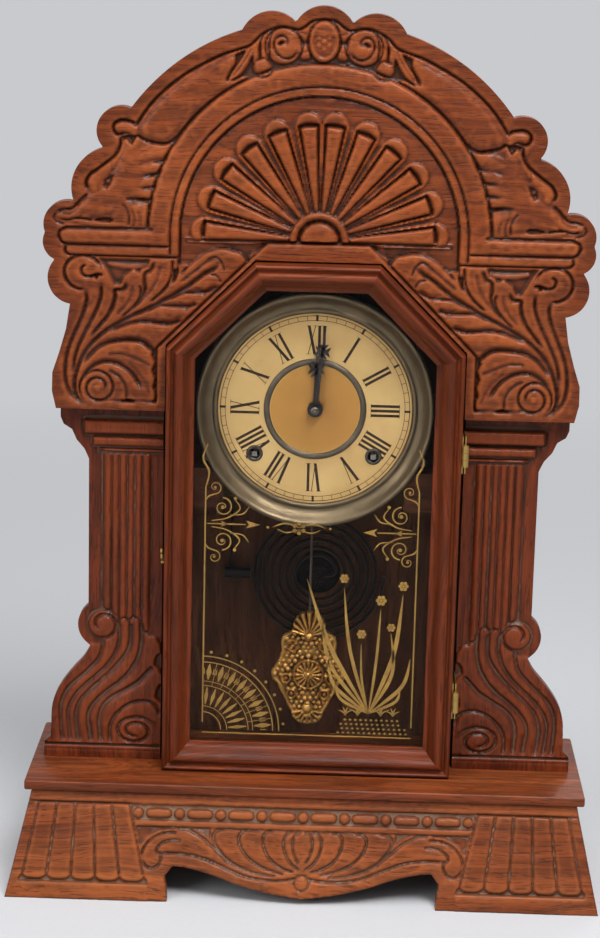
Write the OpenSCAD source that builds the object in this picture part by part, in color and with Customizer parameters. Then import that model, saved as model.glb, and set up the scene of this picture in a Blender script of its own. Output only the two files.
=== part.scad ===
// Carved oak kitchen clock with an eight day time and strike movement.
// X is the width, Y the depth with the front at -Y, Z the height.
// The origin is under the middle of the clock, on the surface it stands on.

/* [Base] */
// Width of the base at the floor
base_w = 380.8; // [370:1:400]
// Width of the base front under the ledge
base_top_w = 350; // [340:1:354]
// Height of the base under the ledge
base_h = 67.5; // [66:0.5:74]
// Depth of the base at the floor
base_d = 128.4; // [126:0.2:136]
// How far the base front leans back over its height
base_slope = 19; // [14:0.5:20]
// Thickness of the boards of the base
base_board_t = 10; // [8:0.5:12]
// Distance between the inner corners of the two feet
foot_gap = 172.2; // [168:0.2:176]
// Depth of the carving of the base front
base_relief = 3; // [2:0.1:4]
// Reeds on each foot
reeds = 5; // [4:1:6]
// Radius of the round beads
bead_r = 3.4; // [2.8:0.1:3.8]

/* [Ledge] */
// Width of the ledge
ledge_w = 359.4; // [356:0.2:366]
// Depth of the ledge
ledge_d = 111.8; // [110.6:0.2:114]
// Thickness of the ledge
ledge_t = 6.3; // [5:0.1:9]

/* [Case] */
// Outer width of the case box
case_w = 248; // [236:1:256]
// Thickness of the case sides
case_side_t = 9; // [7:0.5:11]
// Height of the case box above the ledge
case_h = 351; // [346:1:356]
// Thickness of the case top
case_top_t = 9; // [7:0.5:12]
// Thickness of the back board
back_t = 5; // [3:0.5:6]
// Thickness of the front frame of the case
frame_t = 8; // [6:0.5:10]
// Thickness of the pilaster boards
pilaster_t = 9; // [8:0.5:10]
// Distance from the back of the case to the pilaster fronts
pilaster_set = 65.8; // [63.4:0.2:68.4]
// Thickness of the crest panel
crest_t = 11.3; // [10.5:0.1:12]
// Height of the crest panel above the case box
crest_up = 140.2; // [138.2:0.2:142.2]
// Height of the bottom edge of the crest panel above the floor
crest_low = 311; // [309:1:313]
// Depth of the carving of the crest
crest_relief = 4.5; // [3.5:0.1:5.5]
// Depth of the carving of the pilasters
pilaster_relief = 3; // [2:0.1:3.5]

/* [Fan and arch] */
// Height of the middle of the arch above the floor
arch_z = 423.6; // [422:0.1:425]
// Outer radius of the arch
arch_r = 106; // [105:0.1:107]
// Width of the flat ring of the arch
arch_band = 13.2; // [11:0.1:14]
// Width of the thin ring inside the arch
arch_bead = 5; // [4:0.1:5.5]
// Radius that the petals of the fan reach
fan_r = 80; // [78:0.5:82]
// Petals on each half of the fan
petals = 6; // [5:1:7]
// Radius of the half round boss under the fan
boss_r = 17.5; // [16:0.5:19]

/* [Door] */
// Width of the door
door_w = 186.8; // [184:0.2:188]
// Height of the door shoulders above the floor
door_shoulder = 352.9; // [350:0.1:355]
// Height of the door top above the floor
door_top = 407.4; // [405:0.1:408]
// Width of the door frame members
door_rail_w = 17.5; // [16:0.1:19]
// Thickness of the door
door_t = 19; // [17:0.5:19]
// Distance from the back of the case to the door front
door_set = 87.7; // [86.4:0.1:87.9]
// Gap under the door and beside it
door_gap = 0.8; // [0.5:0.1:1.2]
// Width of the rebate that holds the glass
rebate_w = 5; // [4:0.1:7]
// Thickness of the glass
glass_t = 2; // [1.5:0.1:2.5]

/* [Hinges and catch] */
// Height of the hinge leaves
hinge_h = 24; // [18:1:30]
// Height of the three knuckles together
knuckle_h = 13.5; // [12:0.5:18]
// Radius of the hinge knuckles
knuckle_r = 2; // [1.8:0.1:2.2]
// Radius of the hinge pins
hinge_pin_r = 0.9; // [0.7:0.05:1]
// Thickness of the hinge leaves
leaf_t = 0.8; // [0.6:0.1:0.9]
// Height of the lower hinge above the floor
hinge_low_z = 127; // [115:1:140]
// Height of the upper hinge above the floor
hinge_high_z = 290; // [280:1:298]
// Height of the catch above the floor
catch_z = 213; // [200:1:230]
// Thickness of the catch hook
catch_t = 1; // [0.8:0.05:1.1]

/* [Dial] */
// Height of the middle of the dial above the floor
dial_z = 311.6; // [311:0.1:312.2]
// Outer radius of the dial pan
dial_r = 76; // [75:0.5:77]
// Radius of the visible paper
paper_r = 62; // [60:0.5:63]
// Distance from the back of the case to the dial paper
dial_set = 59.8; // [59.2:0.1:60.4]
// Thickness of the sheet metal of the pan
pan_t = 0.8; // [0.6:0.1:1]
// Outer radius of the metal ring in the middle of the dial
ring_r = 32.8; // [31:0.1:34]
// Width of that ring
ring_w = 3.8; // [3:0.1:5]
// Distance of each winding arbor from the middle, sideways
wind_x = 38; // [37.6:0.1:38.4]
// Distance of the winding arbors below the middle
wind_drop = 30; // [29.8:0.1:30.2]
// Radius of the winding holes in the dial
wind_hole_r = 4.2; // [3.8:0.1:5]

/* [Movement] */
// Width of the movement plates
plate_w = 124; // [122:1:130]
// Height of the movement plates
plate_h = 124; // [122:1:128]
// Thickness of the movement plates
plate_t = 1.5; // [1.2:0.1:2]
// Distance of the front plate behind the paper
plate_set = 15.6; // [15.4:0.1:16.4]
// Space between the two plates
plate_space = 24.5; // [24.3:0.1:26]
// Radius of the plate pillars
pillar_r = 3; // [2.5:0.1:3.5]
// Radius of the train arbors
arbor_r = 1.2; // [1:0.05:1.4]
// Radius of the pivots in the plates
pivot_r = 0.9; // [0.7:0.05:0.95]
// Clearance round a shaft in its hole
fit = 0.05; // [0.03:0.01:0.08]
// Thickness of the train wheels
wheel_t = 1.2; // [0.9:0.1:1.4]
// Radius of the winding arbors
wind_r = 2.4; // [2.2:0.1:2.6]
// Side of the winding squares
square_w = 3.2; // [2.8:0.1:3.3]

/* [Teeth] */
// Teeth of the two main wheels
main_n = 56; // [56:1:56]
// Module of the main wheels
main_m = 0.86; // [0.85:0.005:0.87]
// Leaves of the pinions that the main wheels drive
second_leaves = 7; // [7:1:7]
// Teeth of the second wheels
second_n = 60; // [60:1:60]
// Module of the second wheels
second_m = 0.66; // [0.655:0.005:0.665]
// Leaves of the centre pinion and the third pinion of the strike
centre_leaves = 8; // [8:1:8]
// Teeth of the centre wheel
centre_n = 54; // [54:1:54]
// Leaves of the third pinion and the escape pinion
third_leaves = 6; // [6:1:6]
// Teeth of the third wheels
third_n = 60; // [60:1:60]
// Module of the third wheel of the time train
third_m = 0.52; // [0.515:0.005:0.525]
// Teeth of the escape wheel
escape_n = 43; // [40:1:45]
// Tip radius of the escape wheel
escape_r = 15; // [14:0.5:15.5]
// Teeth of the cannon pinion
cannon_n = 12; // [12:1:12]
// Module of the motion work at the cannon pinion
motion_m = 0.5; // [0.49:0.005:0.51]
// Teeth of the minute wheel
minute_n = 36; // [36:1:36]
// Leaves of the minute pinion
minute_leaves = 10; // [10:1:10]
// Teeth of the hour wheel
hour_n = 40; // [40:1:40]
// Teeth of the wheel that drives the fly
fly_n = 48; // [48:1:48]
// Notched wheel that counts the blows, outer radius
count_r = 19; // [17:0.5:21]

/* [Hands] */
// Length of the minute hand
minute_len = 55; // [48:1:57]
// Length of the hour hand
hour_len = 38; // [34:1:42]
// Thickness of the hands
hand_t = 0.8; // [0.6:0.1:1]

/* [Pendulum] */
// Height of the flexing point of the suspension above the dial middle
suspension_up = 54; // [53:0.5:55]
// Distance from the flexing point to the middle of the bob
pendulum_len = 229; // [215:1:232]
// Half width of the bob
bob_w = 23.5; // [20:0.5:26]
// Height of the bob
bob_h = 78; // [70:1:84]
// Radius of the pendulum wire
wire_r = 0.8; // [0.6:0.05:1]

/* [Strike] */
// Height of the middle of the gong above the floor
gong_z = 188; // [180:1:195]
// Distance of the gong to the right of the middle
gong_x = 4; // [2:1:6]
// Turns of the gong coil
gong_turns = 6; // [4:1:7]
// Radius of the inner turn of the gong coil
gong_inner = 13; // [12:0.5:15]
// Distance between the turns of the gong coil
gong_pitch = 5.2; // [4:0.1:5.4]
// Radius of the gong wire
gong_wire = 1.3; // [1:0.1:1.6]
// Radius of the iron base of the gong
gong_base_r = 15; // [12:0.5:18]

/* [Hidden] */
$fn = 64;

oak = [0.52, 0.25, 0.11];
dark_oak = [0.36, 0.16, 0.08];
door_red = [0.45, 0.16, 0.08];
pine = [0.72, 0.55, 0.36];
brass = [0.72, 0.55, 0.24];
old_nickel = [0.55, 0.52, 0.44];
steel = [0.48, 0.49, 0.52];
blued = [0.12, 0.11, 0.12];
cream = [0.86, 0.73, 0.48];

// Planes across the depth, from the front to the back
front_y = -base_d / 2;
back_y = base_d / 2;
door_y = back_y - door_set;
door_back_y = door_y + door_t;
pilaster_y = back_y - pilaster_set;
frame_y = pilaster_y + pilaster_t;
frame_back_y = frame_y + frame_t;
crest_y = pilaster_y - crest_t;
board_y = back_y - back_t;
paper_y = back_y - dial_set;
plate_y = paper_y + plate_set;
inner_y = plate_y + plate_t;
inner_back_y = inner_y + plate_space;
plate_back_y = inner_back_y + plate_t;

// Heights
ledge_z = base_h + ledge_t;
door_z = ledge_z + door_gap;
case_top_z = ledge_z + case_h;
crest_h = case_top_z + crest_up;

// Angles and widths that follow
lean = atan(base_slope / base_h);
flare = atan((base_w - base_top_w) / 2 / base_h);
side_w = base_board_t / cos(flare);
door_hw = door_w / 2;
door_top_hw = door_hw - (door_top - door_shoulder);
hinge_room = 2.6;
pilaster_in = door_hw + hinge_room;
stop_room = 1.5;
seat = 0.3;

// A drawing in X and Z made into a plate, t thick, whose back lies at y = back
module slab(back, t) {
    translate([0, back, 0]) rotate([90, 0, 0]) linear_extrude(t) children();
}

// A turned shape on an axis along Y, whose drawing's upper side faces the front
module turned(p, y) {
    translate([p[0], y, p[1]]) rotate([90, 0, 0]) rotate_extrude() children();
}

// A round bar along Y from y0 back to y1
module bar(p, r, y0, y1) {
    translate([p[0], y1, p[1]]) rotate([90, 0, 0]) cylinder(r = r, h = y1 - y0);
}

module both() {
    children();
    mirror([1, 0, 0]) children();
}

// A smooth line through hand set points
function spline(p, n = 4) = [
    for (i = [0 : len(p) - 2], k = [0 : n - 1])
        let (a = p[max(i - 1, 0)], b = p[i], c = p[i + 1], d = p[min(i + 2, len(p) - 1)], t = k / n)
            (b * 2 + (c - a) * t + (a * 2 - b * 5 + c * 4 - d) * t * t
                + (b * 3 - a - c * 3 + d) * t * t * t) / 2,
    p[len(p) - 1]];

function side_of(q, i) =
    let (v = q[min(i + 1, len(q) - 1)] - q[max(i - 1, 0)]) [-v[1], v[0]] / norm(v);

// A carved leaf or ridge along a smooth line, w0 wide at its round tip and w1 at its root
module leaf(p, w0, w1) {
    q = spline(p);
    last = len(q) - 1;
    half = [for (i = [0 : last]) (w0 + (w1 - w0) * i / last) / 2];
    polygon(concat(
        [for (i = [0 : last]) q[i] + side_of(q, i) * half[i]],
        [for (i = [last : -1 : 0]) q[i] - side_of(q, i) * half[i]]));
    translate(q[0]) circle(r = w0 / 2 + 0.15, $fn = 16);
}

// The leaning front of the base, drawn upright with its front at y = 0
module leaned() {
    translate([0, front_y, 0]) rotate([-lean, 0, 0]) children();
}

function up(z) = z / cos(lean);

function raise(p) = [for (q = p) [q[0], up(q[1])]];

apron_arc = [[83, 22.5], [76, 22], [60, 18.5], [42, 12.5], [24, 8], [8, 5.5], [0, 4.5]];

module apron_gap() {
    polygon(raise(concat(
        [[0, -1], [foot_gap / 2, -1], [foot_gap / 2 + 0.5, 9], [foot_gap / 2 + 1.8, 16]],
        spline(apron_arc))));
}

module base_outline() {
    difference() {
        translate([-base_w / 2, 0]) square([base_w, up(base_h) + base_board_t]);
        both2d() apron_gap();
    }
}

module both2d() {
    children();
    mirror([1, 0]) children();
}

reed_top_z = 60;
reed_low_z = 12.5;
reed_gap = 1.6;
reed_in_low = 100.7;
reed_in_top = 111.5;
reed_out_low = 180;
reed_out_top = 170;

// Edge between two reeds of a foot, k from 0 at the inner one, at a share s of their height
function reed_x(k, s) =
    let (low = reed_in_low + (reed_out_low - reed_in_low) * k / reeds,
        top = reed_in_top + (reed_out_top - reed_in_top) * k / reeds)
            low + (top - low) * s;

module reed_shapes() {
    low = up(reed_low_z);
    top = up(reed_top_z);
    for (k = [0 : reeds - 1]) {
        a = reed_x(k, 0) + reed_gap / 2;
        b = reed_x(k + 1, 0) - reed_gap / 2;
        r = 3;
        polygon([[a, low + r], [a + r, low], [b - r, low], [b, low + r],
            [reed_x(k + 1, 1) - reed_gap / 2, top], [reed_x(k, 1) + reed_gap / 2, top]]);
    }
    // Plain strip outside the reeds
    polygon([[reed_out_low + 1, low - 1], [base_w / 2, 0], [base_w / 2, top],
        [reed_out_top + 1, top]]);
}

module base_bands() {
    intersection() {
        base_outline();
        union() {
            translate([-base_w / 2, up(reed_top_z)]) square([base_w, base_h]);
            both2d() polygon([[foot_gap / 2 - 2, 0], [base_w / 2, 0], [base_w / 2, up(reed_low_z - 1.5)],
                [foot_gap / 2 - 2, up(reed_low_z - 1.5)]]);
            both2d() polygon(raise(concat([[98, 9], [98, 22]], spline([[90, 28], [80, 29.5], [66, 27],
                [50, 21], [30, 15.5], [12, 13.5], [0, 13.5]]), [[0, 3], [98, 3]])));
            translate([-107, up(46.5)]) square([214, up(3.5)]);
        }
    }
}

// Long leaves of the base carving, outermost first, then the leaves beside its middle
base_leaves = [
    [[[92, 38], [84, 40], [74, 38], [62, 32], [48, 25], [30, 19], [8, 18]], 5, 4],
    [[[95, 26], [100, 28], [99, 35], [92, 39]], 6, 4],
    [[[53, 41], [47, 34], [36, 27], [20, 22], [8, 21]], 7, 3],
    [[[37, 41], [33, 34], [25, 27], [12, 22.5]], 7, 3],
    [[[21, 41], [19, 33], [14, 26], [7, 23]], 7, 3]];

module base_carving() {
    both2d() for (s = base_leaves) leaf(raise(s[0]), s[1], s[2]);
    leaf(raise([[0, 40], [0, 33], [0, 25]]), 9, 5);
    translate([0, up(15)]) circle(r = 4);
}

module bead_row() {
    z = up(54.3);
    pitch = 26.5;
    half = 4;
    for (i = [-half : half]) translate([i * pitch, bead_r, z]) sphere(r = bead_r);
    for (i = [-half : half - 1]) translate([(i + 0.5) * pitch, bead_r, z])
        rotate([0, 90, 0]) {
            cylinder(r = bead_r, h = 10, center = true);
            for (e = [-5, 5]) translate([0, 0, e]) sphere(r = bead_r);
        }
}

module base_front() {
    color(oak) intersection() {
        slab(base_d, base_d * 2) polygon([[-base_w / 2, 0], [base_w / 2, 0],
            [base_top_w / 2, base_h], [-base_top_w / 2, base_h]]);
        leaned() {
            slab(base_board_t, base_board_t - base_relief) base_outline();
            slab(base_relief, base_relief) {
                base_bands();
                both2d() reed_shapes();
            }
            slab(base_relief, base_relief * 0.8) base_carving();
            bead_row();
        }
    }
}

// The flared side of the base on the right, from the back of the front board to the back
module base_side() {
    color(oak) difference() {
        intersection() {
            translate([0, -base_d, 0]) cube([base_w, base_d * 1.5, base_h]);
            slab(back_y, base_d) polygon([[base_w / 2, 0], [base_top_w / 2, base_h],
                [base_top_w / 2 - side_w, base_h], [base_w / 2 - side_w, 0]]);
        }
        leaned() translate([-base_w, -base_d, -base_h]) cube([base_w * 2, base_d + base_board_t, base_h * 3]);
    }
}

module base_side_left() mirror([1, 0, 0]) base_side();

module base_side_right() base_side();

module base_rear_rail() {
    low = base_w / 2 - side_w;
    top = base_top_w / 2 - side_w;
    color(pine) slab(back_y, base_board_t) difference() {
        polygon([[-low, 0], [low, 0], [top, base_h], [-top, base_h]]);
        polygon([[-foot_gap / 2, -1], [foot_gap / 2, -1], [foot_gap / 2 - 14, 20],
            [14 - foot_gap / 2, 20]]);
    }
}

module ledge() {
    color(oak) translate([-ledge_w / 2, back_y - ledge_d, base_h]) cube([ledge_w, ledge_d, ledge_t]);
}

block = 18;

// Glue blocks under the ledge at the rear corners and on the case top behind the crest
module glue_blocks() {
    color(pine) {
        both() slab(back_y - base_board_t, block) polygon([
            [base_top_w / 2 - side_w, base_h], [base_top_w / 2 - side_w - block, base_h],
            [base_top_w / 2 - side_w - block, base_h - block],
            [base_top_w / 2 - side_w + block * tan(flare), base_h - block]]);
        both() translate([40, pilaster_y, case_top_z]) rotate([90, 0, 90]) linear_extrude(30)
            polygon([[0, 0], [40, 0], [0, 55]]);
    }
}

module case_side(x) {
    color(dark_oak) translate([x, frame_back_y, ledge_z])
        cube([case_side_t, board_y - frame_back_y, case_h]);
}

module case_side_left() case_side(-case_w / 2);

module case_side_right() case_side(case_w / 2 - case_side_t);

module case_top() {
    inner = case_w - 2 * case_side_t;
    color(dark_oak) translate([-inner / 2, frame_back_y, case_top_z - case_top_t])
        cube([inner, board_y - frame_back_y, case_top_t]);
}

module back_board() {
    color(pine) translate([-case_w / 2, board_y, ledge_z]) cube([case_w, back_t, case_h]);
}

// The six cornered outline of the door, drawn inward by d
function door_points(d) =
    let (k = d * tan(22.5))
        [[d - door_hw, door_z + d], [door_hw - d, door_z + d], [door_hw - d, door_shoulder - k],
            [door_top_hw - k, door_top - d], [k - door_top_hw, door_top - d],
            [d - door_hw, door_shoulder - k]];

module door_outline(d) polygon(door_points(d));

stop_lap = 9;

module front_frame() {
    color(dark_oak) slab(frame_back_y, frame_t) difference() {
        translate([-case_w / 2, ledge_z]) square([case_w, case_h]);
        door_outline(stop_lap);
    }
}

module door_stop() {
    color(dark_oak) slab(frame_y, frame_y - door_back_y - seat) difference() {
        door_outline(0.2);
        door_outline(stop_lap);
    }
}

// Right half of the pilaster outline, from the ledge up to the hidden top behind the crest
shaft_out = 143.7;
pilaster_out = 172.5;
tenon_out = 162;
tenon_z = 303;
pilaster_top = 345;
shaft_top = 275.8;
shaft_low = 176;
foot_edge = [[142.5, 150], [147, 142], [153.5, 134.5], [160, 126], [164.8, 117.5], [167.2, 109],
    [167.8, 99], [168.2, 88]];

module pilaster_outline() {
    polygon(concat(
        [[pilaster_in, ledge_z], [pilaster_out, ledge_z], [pilaster_out, 83.3]],
        [[pilaster_out - 1, 85]],
        [for (q = spline([for (i = [len(foot_edge) - 1 : -1 : 0]) foot_edge[i]])) q],
        [[shaft_out - 3, 158], [shaft_out, shaft_low], [shaft_out, shaft_top],
            [146.7, 282.5], [151.7, 288.3], [154.7, 295], [160, 298.3], [tenon_out, tenon_z],
            [tenon_out, pilaster_top], [pilaster_in, pilaster_top]]));
    translate([134.5, 165]) circle(r = 16);
}

// Flowing reeds of the pilaster foot
foot_reeds = [
    [[[136, 156], [140, 146], [150, 134], [158.5, 121], [161, 106], [160, 88]], 4, 6],
    [[[126, 158], [127, 147], [137, 134], [148, 121], [153, 106], [151.5, 88]], 4, 6],
    [[[115, 160], [117, 148], [126, 135], [138, 122], [145.5, 107], [144, 88]], 5, 6],
    [[[105, 153], [108, 142], [116, 131], [128, 119], [137.5, 105], [137, 88]], 6, 5],
    [[[103, 131], [107, 125], [116, 118], [126, 110], [130.5, 99], [130, 88]], 6, 4]];

shaft_reeds = 7;
shaft_reed_r = 2.6;
shaft_pitch = 4.4;
shaft_left = 104;

module pilaster() {
    front = pilaster_y;
    color(oak) {
        slab(frame_y, pilaster_t - pilaster_relief) pilaster_outline();
        slab(front + pilaster_relief, pilaster_relief) {
            translate([pilaster_in, tenon_z]) square([tenon_out - pilaster_in, pilaster_top - tenon_z]);
            // Plain edge beside the reeds, base band and base step
            translate([shaft_out - 7, shaft_low]) square([7, shaft_top - shaft_low]);
            translate([pilaster_in, ledge_z]) square([pilaster_out - pilaster_in, 82 - ledge_z]);
            translate([134.5, 165]) circle(r = 9.5);
            for (s = foot_reeds) leaf(s[0], s[1], s[2]);
            difference() {
                translate([113, 95]) circle(r = 14.5);
                translate([113, 94]) circle(r = 9.5);
            }
            translate([112.5, 93.5]) circle(r = 5);
        }
        // Edge of the flowing foot
        slab(front + pilaster_relief, pilaster_relief * 0.6) intersection() {
            pilaster_outline();
            leaf([[143, 154], [152, 141], [163, 125], [167.5, 105], [167.5, 86]], 4, 7);
        }
        for (i = [0 : shaft_reeds - 1])
            translate([shaft_left + shaft_pitch * (0.5 + i), front + shaft_reed_r, 166])
                cylinder(r = shaft_reed_r, h = 116);
        // Stepped capital
        slab(front + pilaster_relief, pilaster_relief + 3) translate([pilaster_in, 292])
            square([148.5 - pilaster_in, 10]);
        slab(front + pilaster_relief, pilaster_relief + 1.5) translate([98, 284]) square([44, 7]);
        slab(front + pilaster_relief, pilaster_relief) translate([100, 280]) square([40, 3]);
    }
}

module pilaster_left() mirror([1, 0, 0]) pilaster();

module pilaster_right() pilaster();

// Lobes of the crest outline: middle x, z and radius
lobes = [[0, 20, 20], [32, 24, 20], [123.5, 78.5, 15], [129, 114, 25], [157, 137, 14.3],
    [159.5, 148, 12.2], [152, 170.5, 16.7]];
crest_arc = [10, 142, 132.5];
crest_side = [[154.8, 187.5], [157.2, 203], [161.5, 218], [165.8, 231], [166, 243]];

// Outline of the crest panel drawn inward by d, with depths below its top
module crest_outline(d = 0) {
    foot = crest_h - crest_low;
    translate([0, crest_h]) both2d() {
        for (c = lobes) translate([c[0], -c[1]]) circle(r = c[2] - d);
        translate([crest_arc[0], -crest_arc[1]]) intersection() {
            circle(r = crest_arc[2] - d, $fn = 128);
            translate([-crest_arc[0], -30]) square(crest_arc[2] + 20);
        }
        polygon(concat(
            [[0, -foot], [0, -60], [100, -80], [115, -80], [126, -110], [144, -115],
                [150, -140], [158 - d, -148], [153 - d, -170]],
            [for (q = spline(crest_side)) [q[0] - d, -q[1]]],
            [[163.5 - d, -foot]]));
    }
}

// A ring of the stilted arch between two radii
module arch_ring(r, w, foot) {
    intersection() {
        difference() {
            arch_disc(r, foot);
            arch_disc(r - w, foot);
        }
        translate([-r, foot]) square([2 * r, r * 3]);
    }
}

module arch_disc(r, foot) {
    translate([0, arch_z]) circle(r = r, $fn = 128);
    translate([-r, foot - 1]) square([2 * r, arch_z - foot + 1]);
}

fan_z = arch_z - 2.6;
first_petal = 3.3;
petal_step = (90 - first_petal) / (petals - 0.5);

// One petal of the fan, from the boss out to its round end
module petal(a) {
    r = fan_r - 7;
    translate([0, fan_z]) rotate(a) {
        polygon([[boss_r, -1], [r, -6.2], [r, 6.2], [boss_r, 1]]);
        translate([r, 0]) circle(r = 6.4, $fn = 32);
    }
}

module petal_core(a) {
    r = fan_r - 12;
    translate([0, fan_z]) rotate(a) polygon([[boss_r + 6, -0.5], [r, -3.6], [r, 3.6], [boss_r + 6, 0.5]]);
}

margin_w = 12;

// Leaves of the wing below the shelf: points, tip width, root width
wing_leaves = [
    [[[66, 405], [76, 398], [90, 387], [104, 378]], 6, 2],
    [[[67, 395], [78, 390], [92, 383], [106, 376]], 5, 2],
    [[[84, 384], [95, 379.5], [108, 372.5]], 5, 2],
    [[[93, 374], [104, 371.5], [118, 366]], 5, 2],
    [[[101, 363], [112, 364.5], [122, 363], [131, 357]], 7, 2],
    [[[105, 347], [113, 352], [124, 353], [138, 346]], 6, 3],
    [[[105, 335], [113, 342], [124, 345], [138, 341]], 5, 3],
    [[[107, 322], [112, 331], [121, 337], [133, 337]], 6, 3],
    [[[96.6, 403.6], [97.5, 396], [102, 386], [111, 376]], 8, 3],
    [[[117, 393], [114, 387], [115, 379], [123, 368]], 6, 3],
    [[[130, 395], [129, 386], [131, 375], [138, 362], [146, 349]], 5, 3],
    [[[137, 391], [136, 381], [139, 370], [146, 357], [151, 344], [153, 330]], 4, 4],
    [[[143, 390], [144, 378], [149, 365], [154, 352], [158, 338], [158, 324], [152, 314]], 5, 5],
    [[[65, 410], [73, 403], [84, 392], [98, 381], [114, 372], [128, 362], [138, 352], [146, 341],
        [150, 329], [149, 319], [142, 314], [128, 313]], 2, 3.5]];

// Mane and jaw of the animal head, then the curl on its brow
head_leaves = [
    [[[99, 475], [107, 474], [114, 471]], 6, 4],
    [[[101, 467], [109, 466], [117, 463]], 6, 4],
    [[[105, 459], [112, 458], [120, 456]], 5, 4],
    [[[105, 452], [113, 451], [122, 449]], 5, 4],
    [[[153, 430.5], [140, 428.5], [127, 428.5], [122, 432], [124, 437]], 3, 4],
    [[[125, 480], [128, 472], [136, 465], [141.5, 457], [139, 450]], 4, 6]];
head_shape = [[107, 478], [116, 477], [122, 470], [126, 461], [132, 455], [140, 448], [149, 441],
    [157, 437.5], [161, 434], [156, 430.5], [148, 433], [138, 437.5], [126, 440], [121, 436],
    [120, 429], [108, 429], [106, 438], [112, 445], [108, 452], [112, 460], [106, 468]];

module neck_panel() {
    intersection() {
        difference() {
            crest_outline(10.5);
            arch_disc(arch_r + 1.5, arch_z);
        }
        polygon([[58, 520], [58, 550], [120, 520], [114, 487], [108, 481], [98, 482], [80, 492]]);
    }
}

module top_ornament() {
    translate([0, 543.5]) ring2d(12.5, 9);
    translate([0, 543.5]) circle(r = 6);
    both2d() {
        for (z = [537.5, 548]) translate([13, z]) circle(r = 4.2);
        translate([26, 541]) ring2d(11, 3);
        translate([38.5, 533]) circle(r = 6);
        leaf([[53, 524], [48, 534], [42, 546]], 5, 7);
    }
}

module crest_panel() {
    ground = crest_y + crest_relief;
    color(oak) difference() {
        union() {
            slab(pilaster_y, crest_t - crest_relief) crest_outline();
            slab(ground, crest_relief) {
                difference() {
                    crest_outline();
                    crest_outline(9);
                    translate([-200, crest_low - 1]) square([400, 9]);
                }
                arch_ring(arch_r, arch_band, 408);
            }
            slab(ground, crest_relief * 0.75) intersection() {
                crest_outline();
                crest_low_relief();
            }
            slab(ground, crest_relief) intersection() {
                crest_outline();
                crest_high_relief();
            }
        }
        slab(pilaster_y + 1, crest_t + 2) door_outline(-door_gap - 0.4);
    }
}

module crest_low_relief() {
    arch_ring(arch_r - arch_band - 0.8, arch_bead, 400);
    door_outline(-margin_w - 1.2);
    both2d() {
        polygon([[arch_r - arch_band, 409.5], [157, 409.5], [157, 413.8],
            [arch_r - arch_band, 413.8]]);
        for (s = wing_leaves) leaf(s[0], s[1], s[2]);
        translate([147, 398]) ring2d(10.5, 6.5);
        translate([144, 400]) circle(r = 3.5);
        translate([138, 325]) ring2d(11, 7.5);
        translate([138, 325]) circle(r = 5);
        translate([95, crest_low]) square([55, 5.5]);
        neck_panel();
    }
    intersection() {
        for (k = [0 : petals - 1]) both2d() petal(first_petal + k * petal_step);
        translate([-fan_r, fan_z - 2.5]) square([2 * fan_r, fan_r * 1.1]);
    }
}

module ring2d(r, hole) {
    difference() {
        circle(r = r);
        circle(r = hole);
    }
}

module crest_high_relief() {
    for (k = [0 : petals - 1]) both2d() petal_core(first_petal + k * petal_step);
    intersection() {
        translate([0, fan_z]) {
            ring2d(boss_r, boss_r - 5);
            circle(r = boss_r - 6);
        }
        translate([-fan_r, fan_z]) square(2 * fan_r);
    }
    top_ornament();
    both2d() {
        polygon([[arch_r - 3, 416], [157, 416], [161, 418.5], [161, 422.5], [157, 425.5],
            [arch_r - 3, 425.5]]);
        for (s = head_leaves) leaf(s[0], s[1], s[2]);
        polygon(spline(concat(head_shape, [head_shape[0]]), 2));
    }
}

// Packing between the crest panel and the front frame, round the top of the door
module crest_backer() {
    color(pine) slab(frame_y, pilaster_t) difference() {
        translate([-case_w / 2, pilaster_top]) square([case_w, case_top_z - pilaster_top]);
        door_outline(-stop_room);
    }
}

// Door members: one moulded length laid along X, its outer edge at z = 0
glass_y = door_y + 11.5;

module door_profile() {
    w = door_rail_w;
    polygon([[0, door_back_y], [0, door_y + 1.8], [0.6, door_y + 0.3], [2.4, door_y + 0.3],
        [3.2, door_y + 2.6], [4.6, door_y + 3], [5.4, door_y + 0.8], [7, door_y], [9, door_y + 0.4],
        [11.5, door_y + 2.4], [13.5, door_y + 5.6], [15, door_y + 8.2], [w - 1, door_y + 9.2],
        [w, door_y + 9.6], [w, glass_y], [w - rebate_w, glass_y], [w - rebate_w, door_back_y]]);
}

// A moulded length whose outer edge runs from p to q, mitred to the drawn footprint
module door_member(p, q, footprint) {
    v = q - p;
    a = atan2(v[1], v[0]);
    intersection() {
        translate([p[0], 0, p[1]]) rotate([0, -a, 0]) translate([-40, 0, 0])
            rotate([90, 0, 90]) linear_extrude(norm(v) + 80) mirror_profile();
        slab(door_back_y, door_t) polygon(footprint);
    }
}

// Profile with the width upward and the depth along the first axis
module mirror_profile() {
    rotate(90) mirror([0, 1]) door_profile();
}

function member_area(i) =
    let (a = door_points(0), b = door_points(door_rail_w), j = (i + 1) % 6) [a[i], a[j], b[j], b[i]];

module door_piece(i) {
    a = door_points(0);
    door_member(a[i], a[(i + 1) % 6], member_area(i));
}

module door_rail_bottom() color(door_red) door_piece(0);

module door_stile_right() color(door_red) door_piece(1);

module door_rail_top() color(door_red) door_piece(3);

module door_braces() {
    color(door_red) {
        door_piece(2);
        door_piece(4);
    }
}

module door_stile_left() {
    color(door_red) difference() {
        door_piece(5);
        translate([-door_hw, catch_y, catch_z]) rotate([0, 90, 0])
            cylinder(r = catch_pin_r + 0.02, h = 12, center = true);
    }
}

glass_in = door_rail_w - rebate_w;

module door_glass() {
    color([0.75, 0.85, 0.85, 0.35]) slab(glass_y + glass_t, glass_t) door_outline(glass_in + seat);
}

bead_w = 4;

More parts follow.
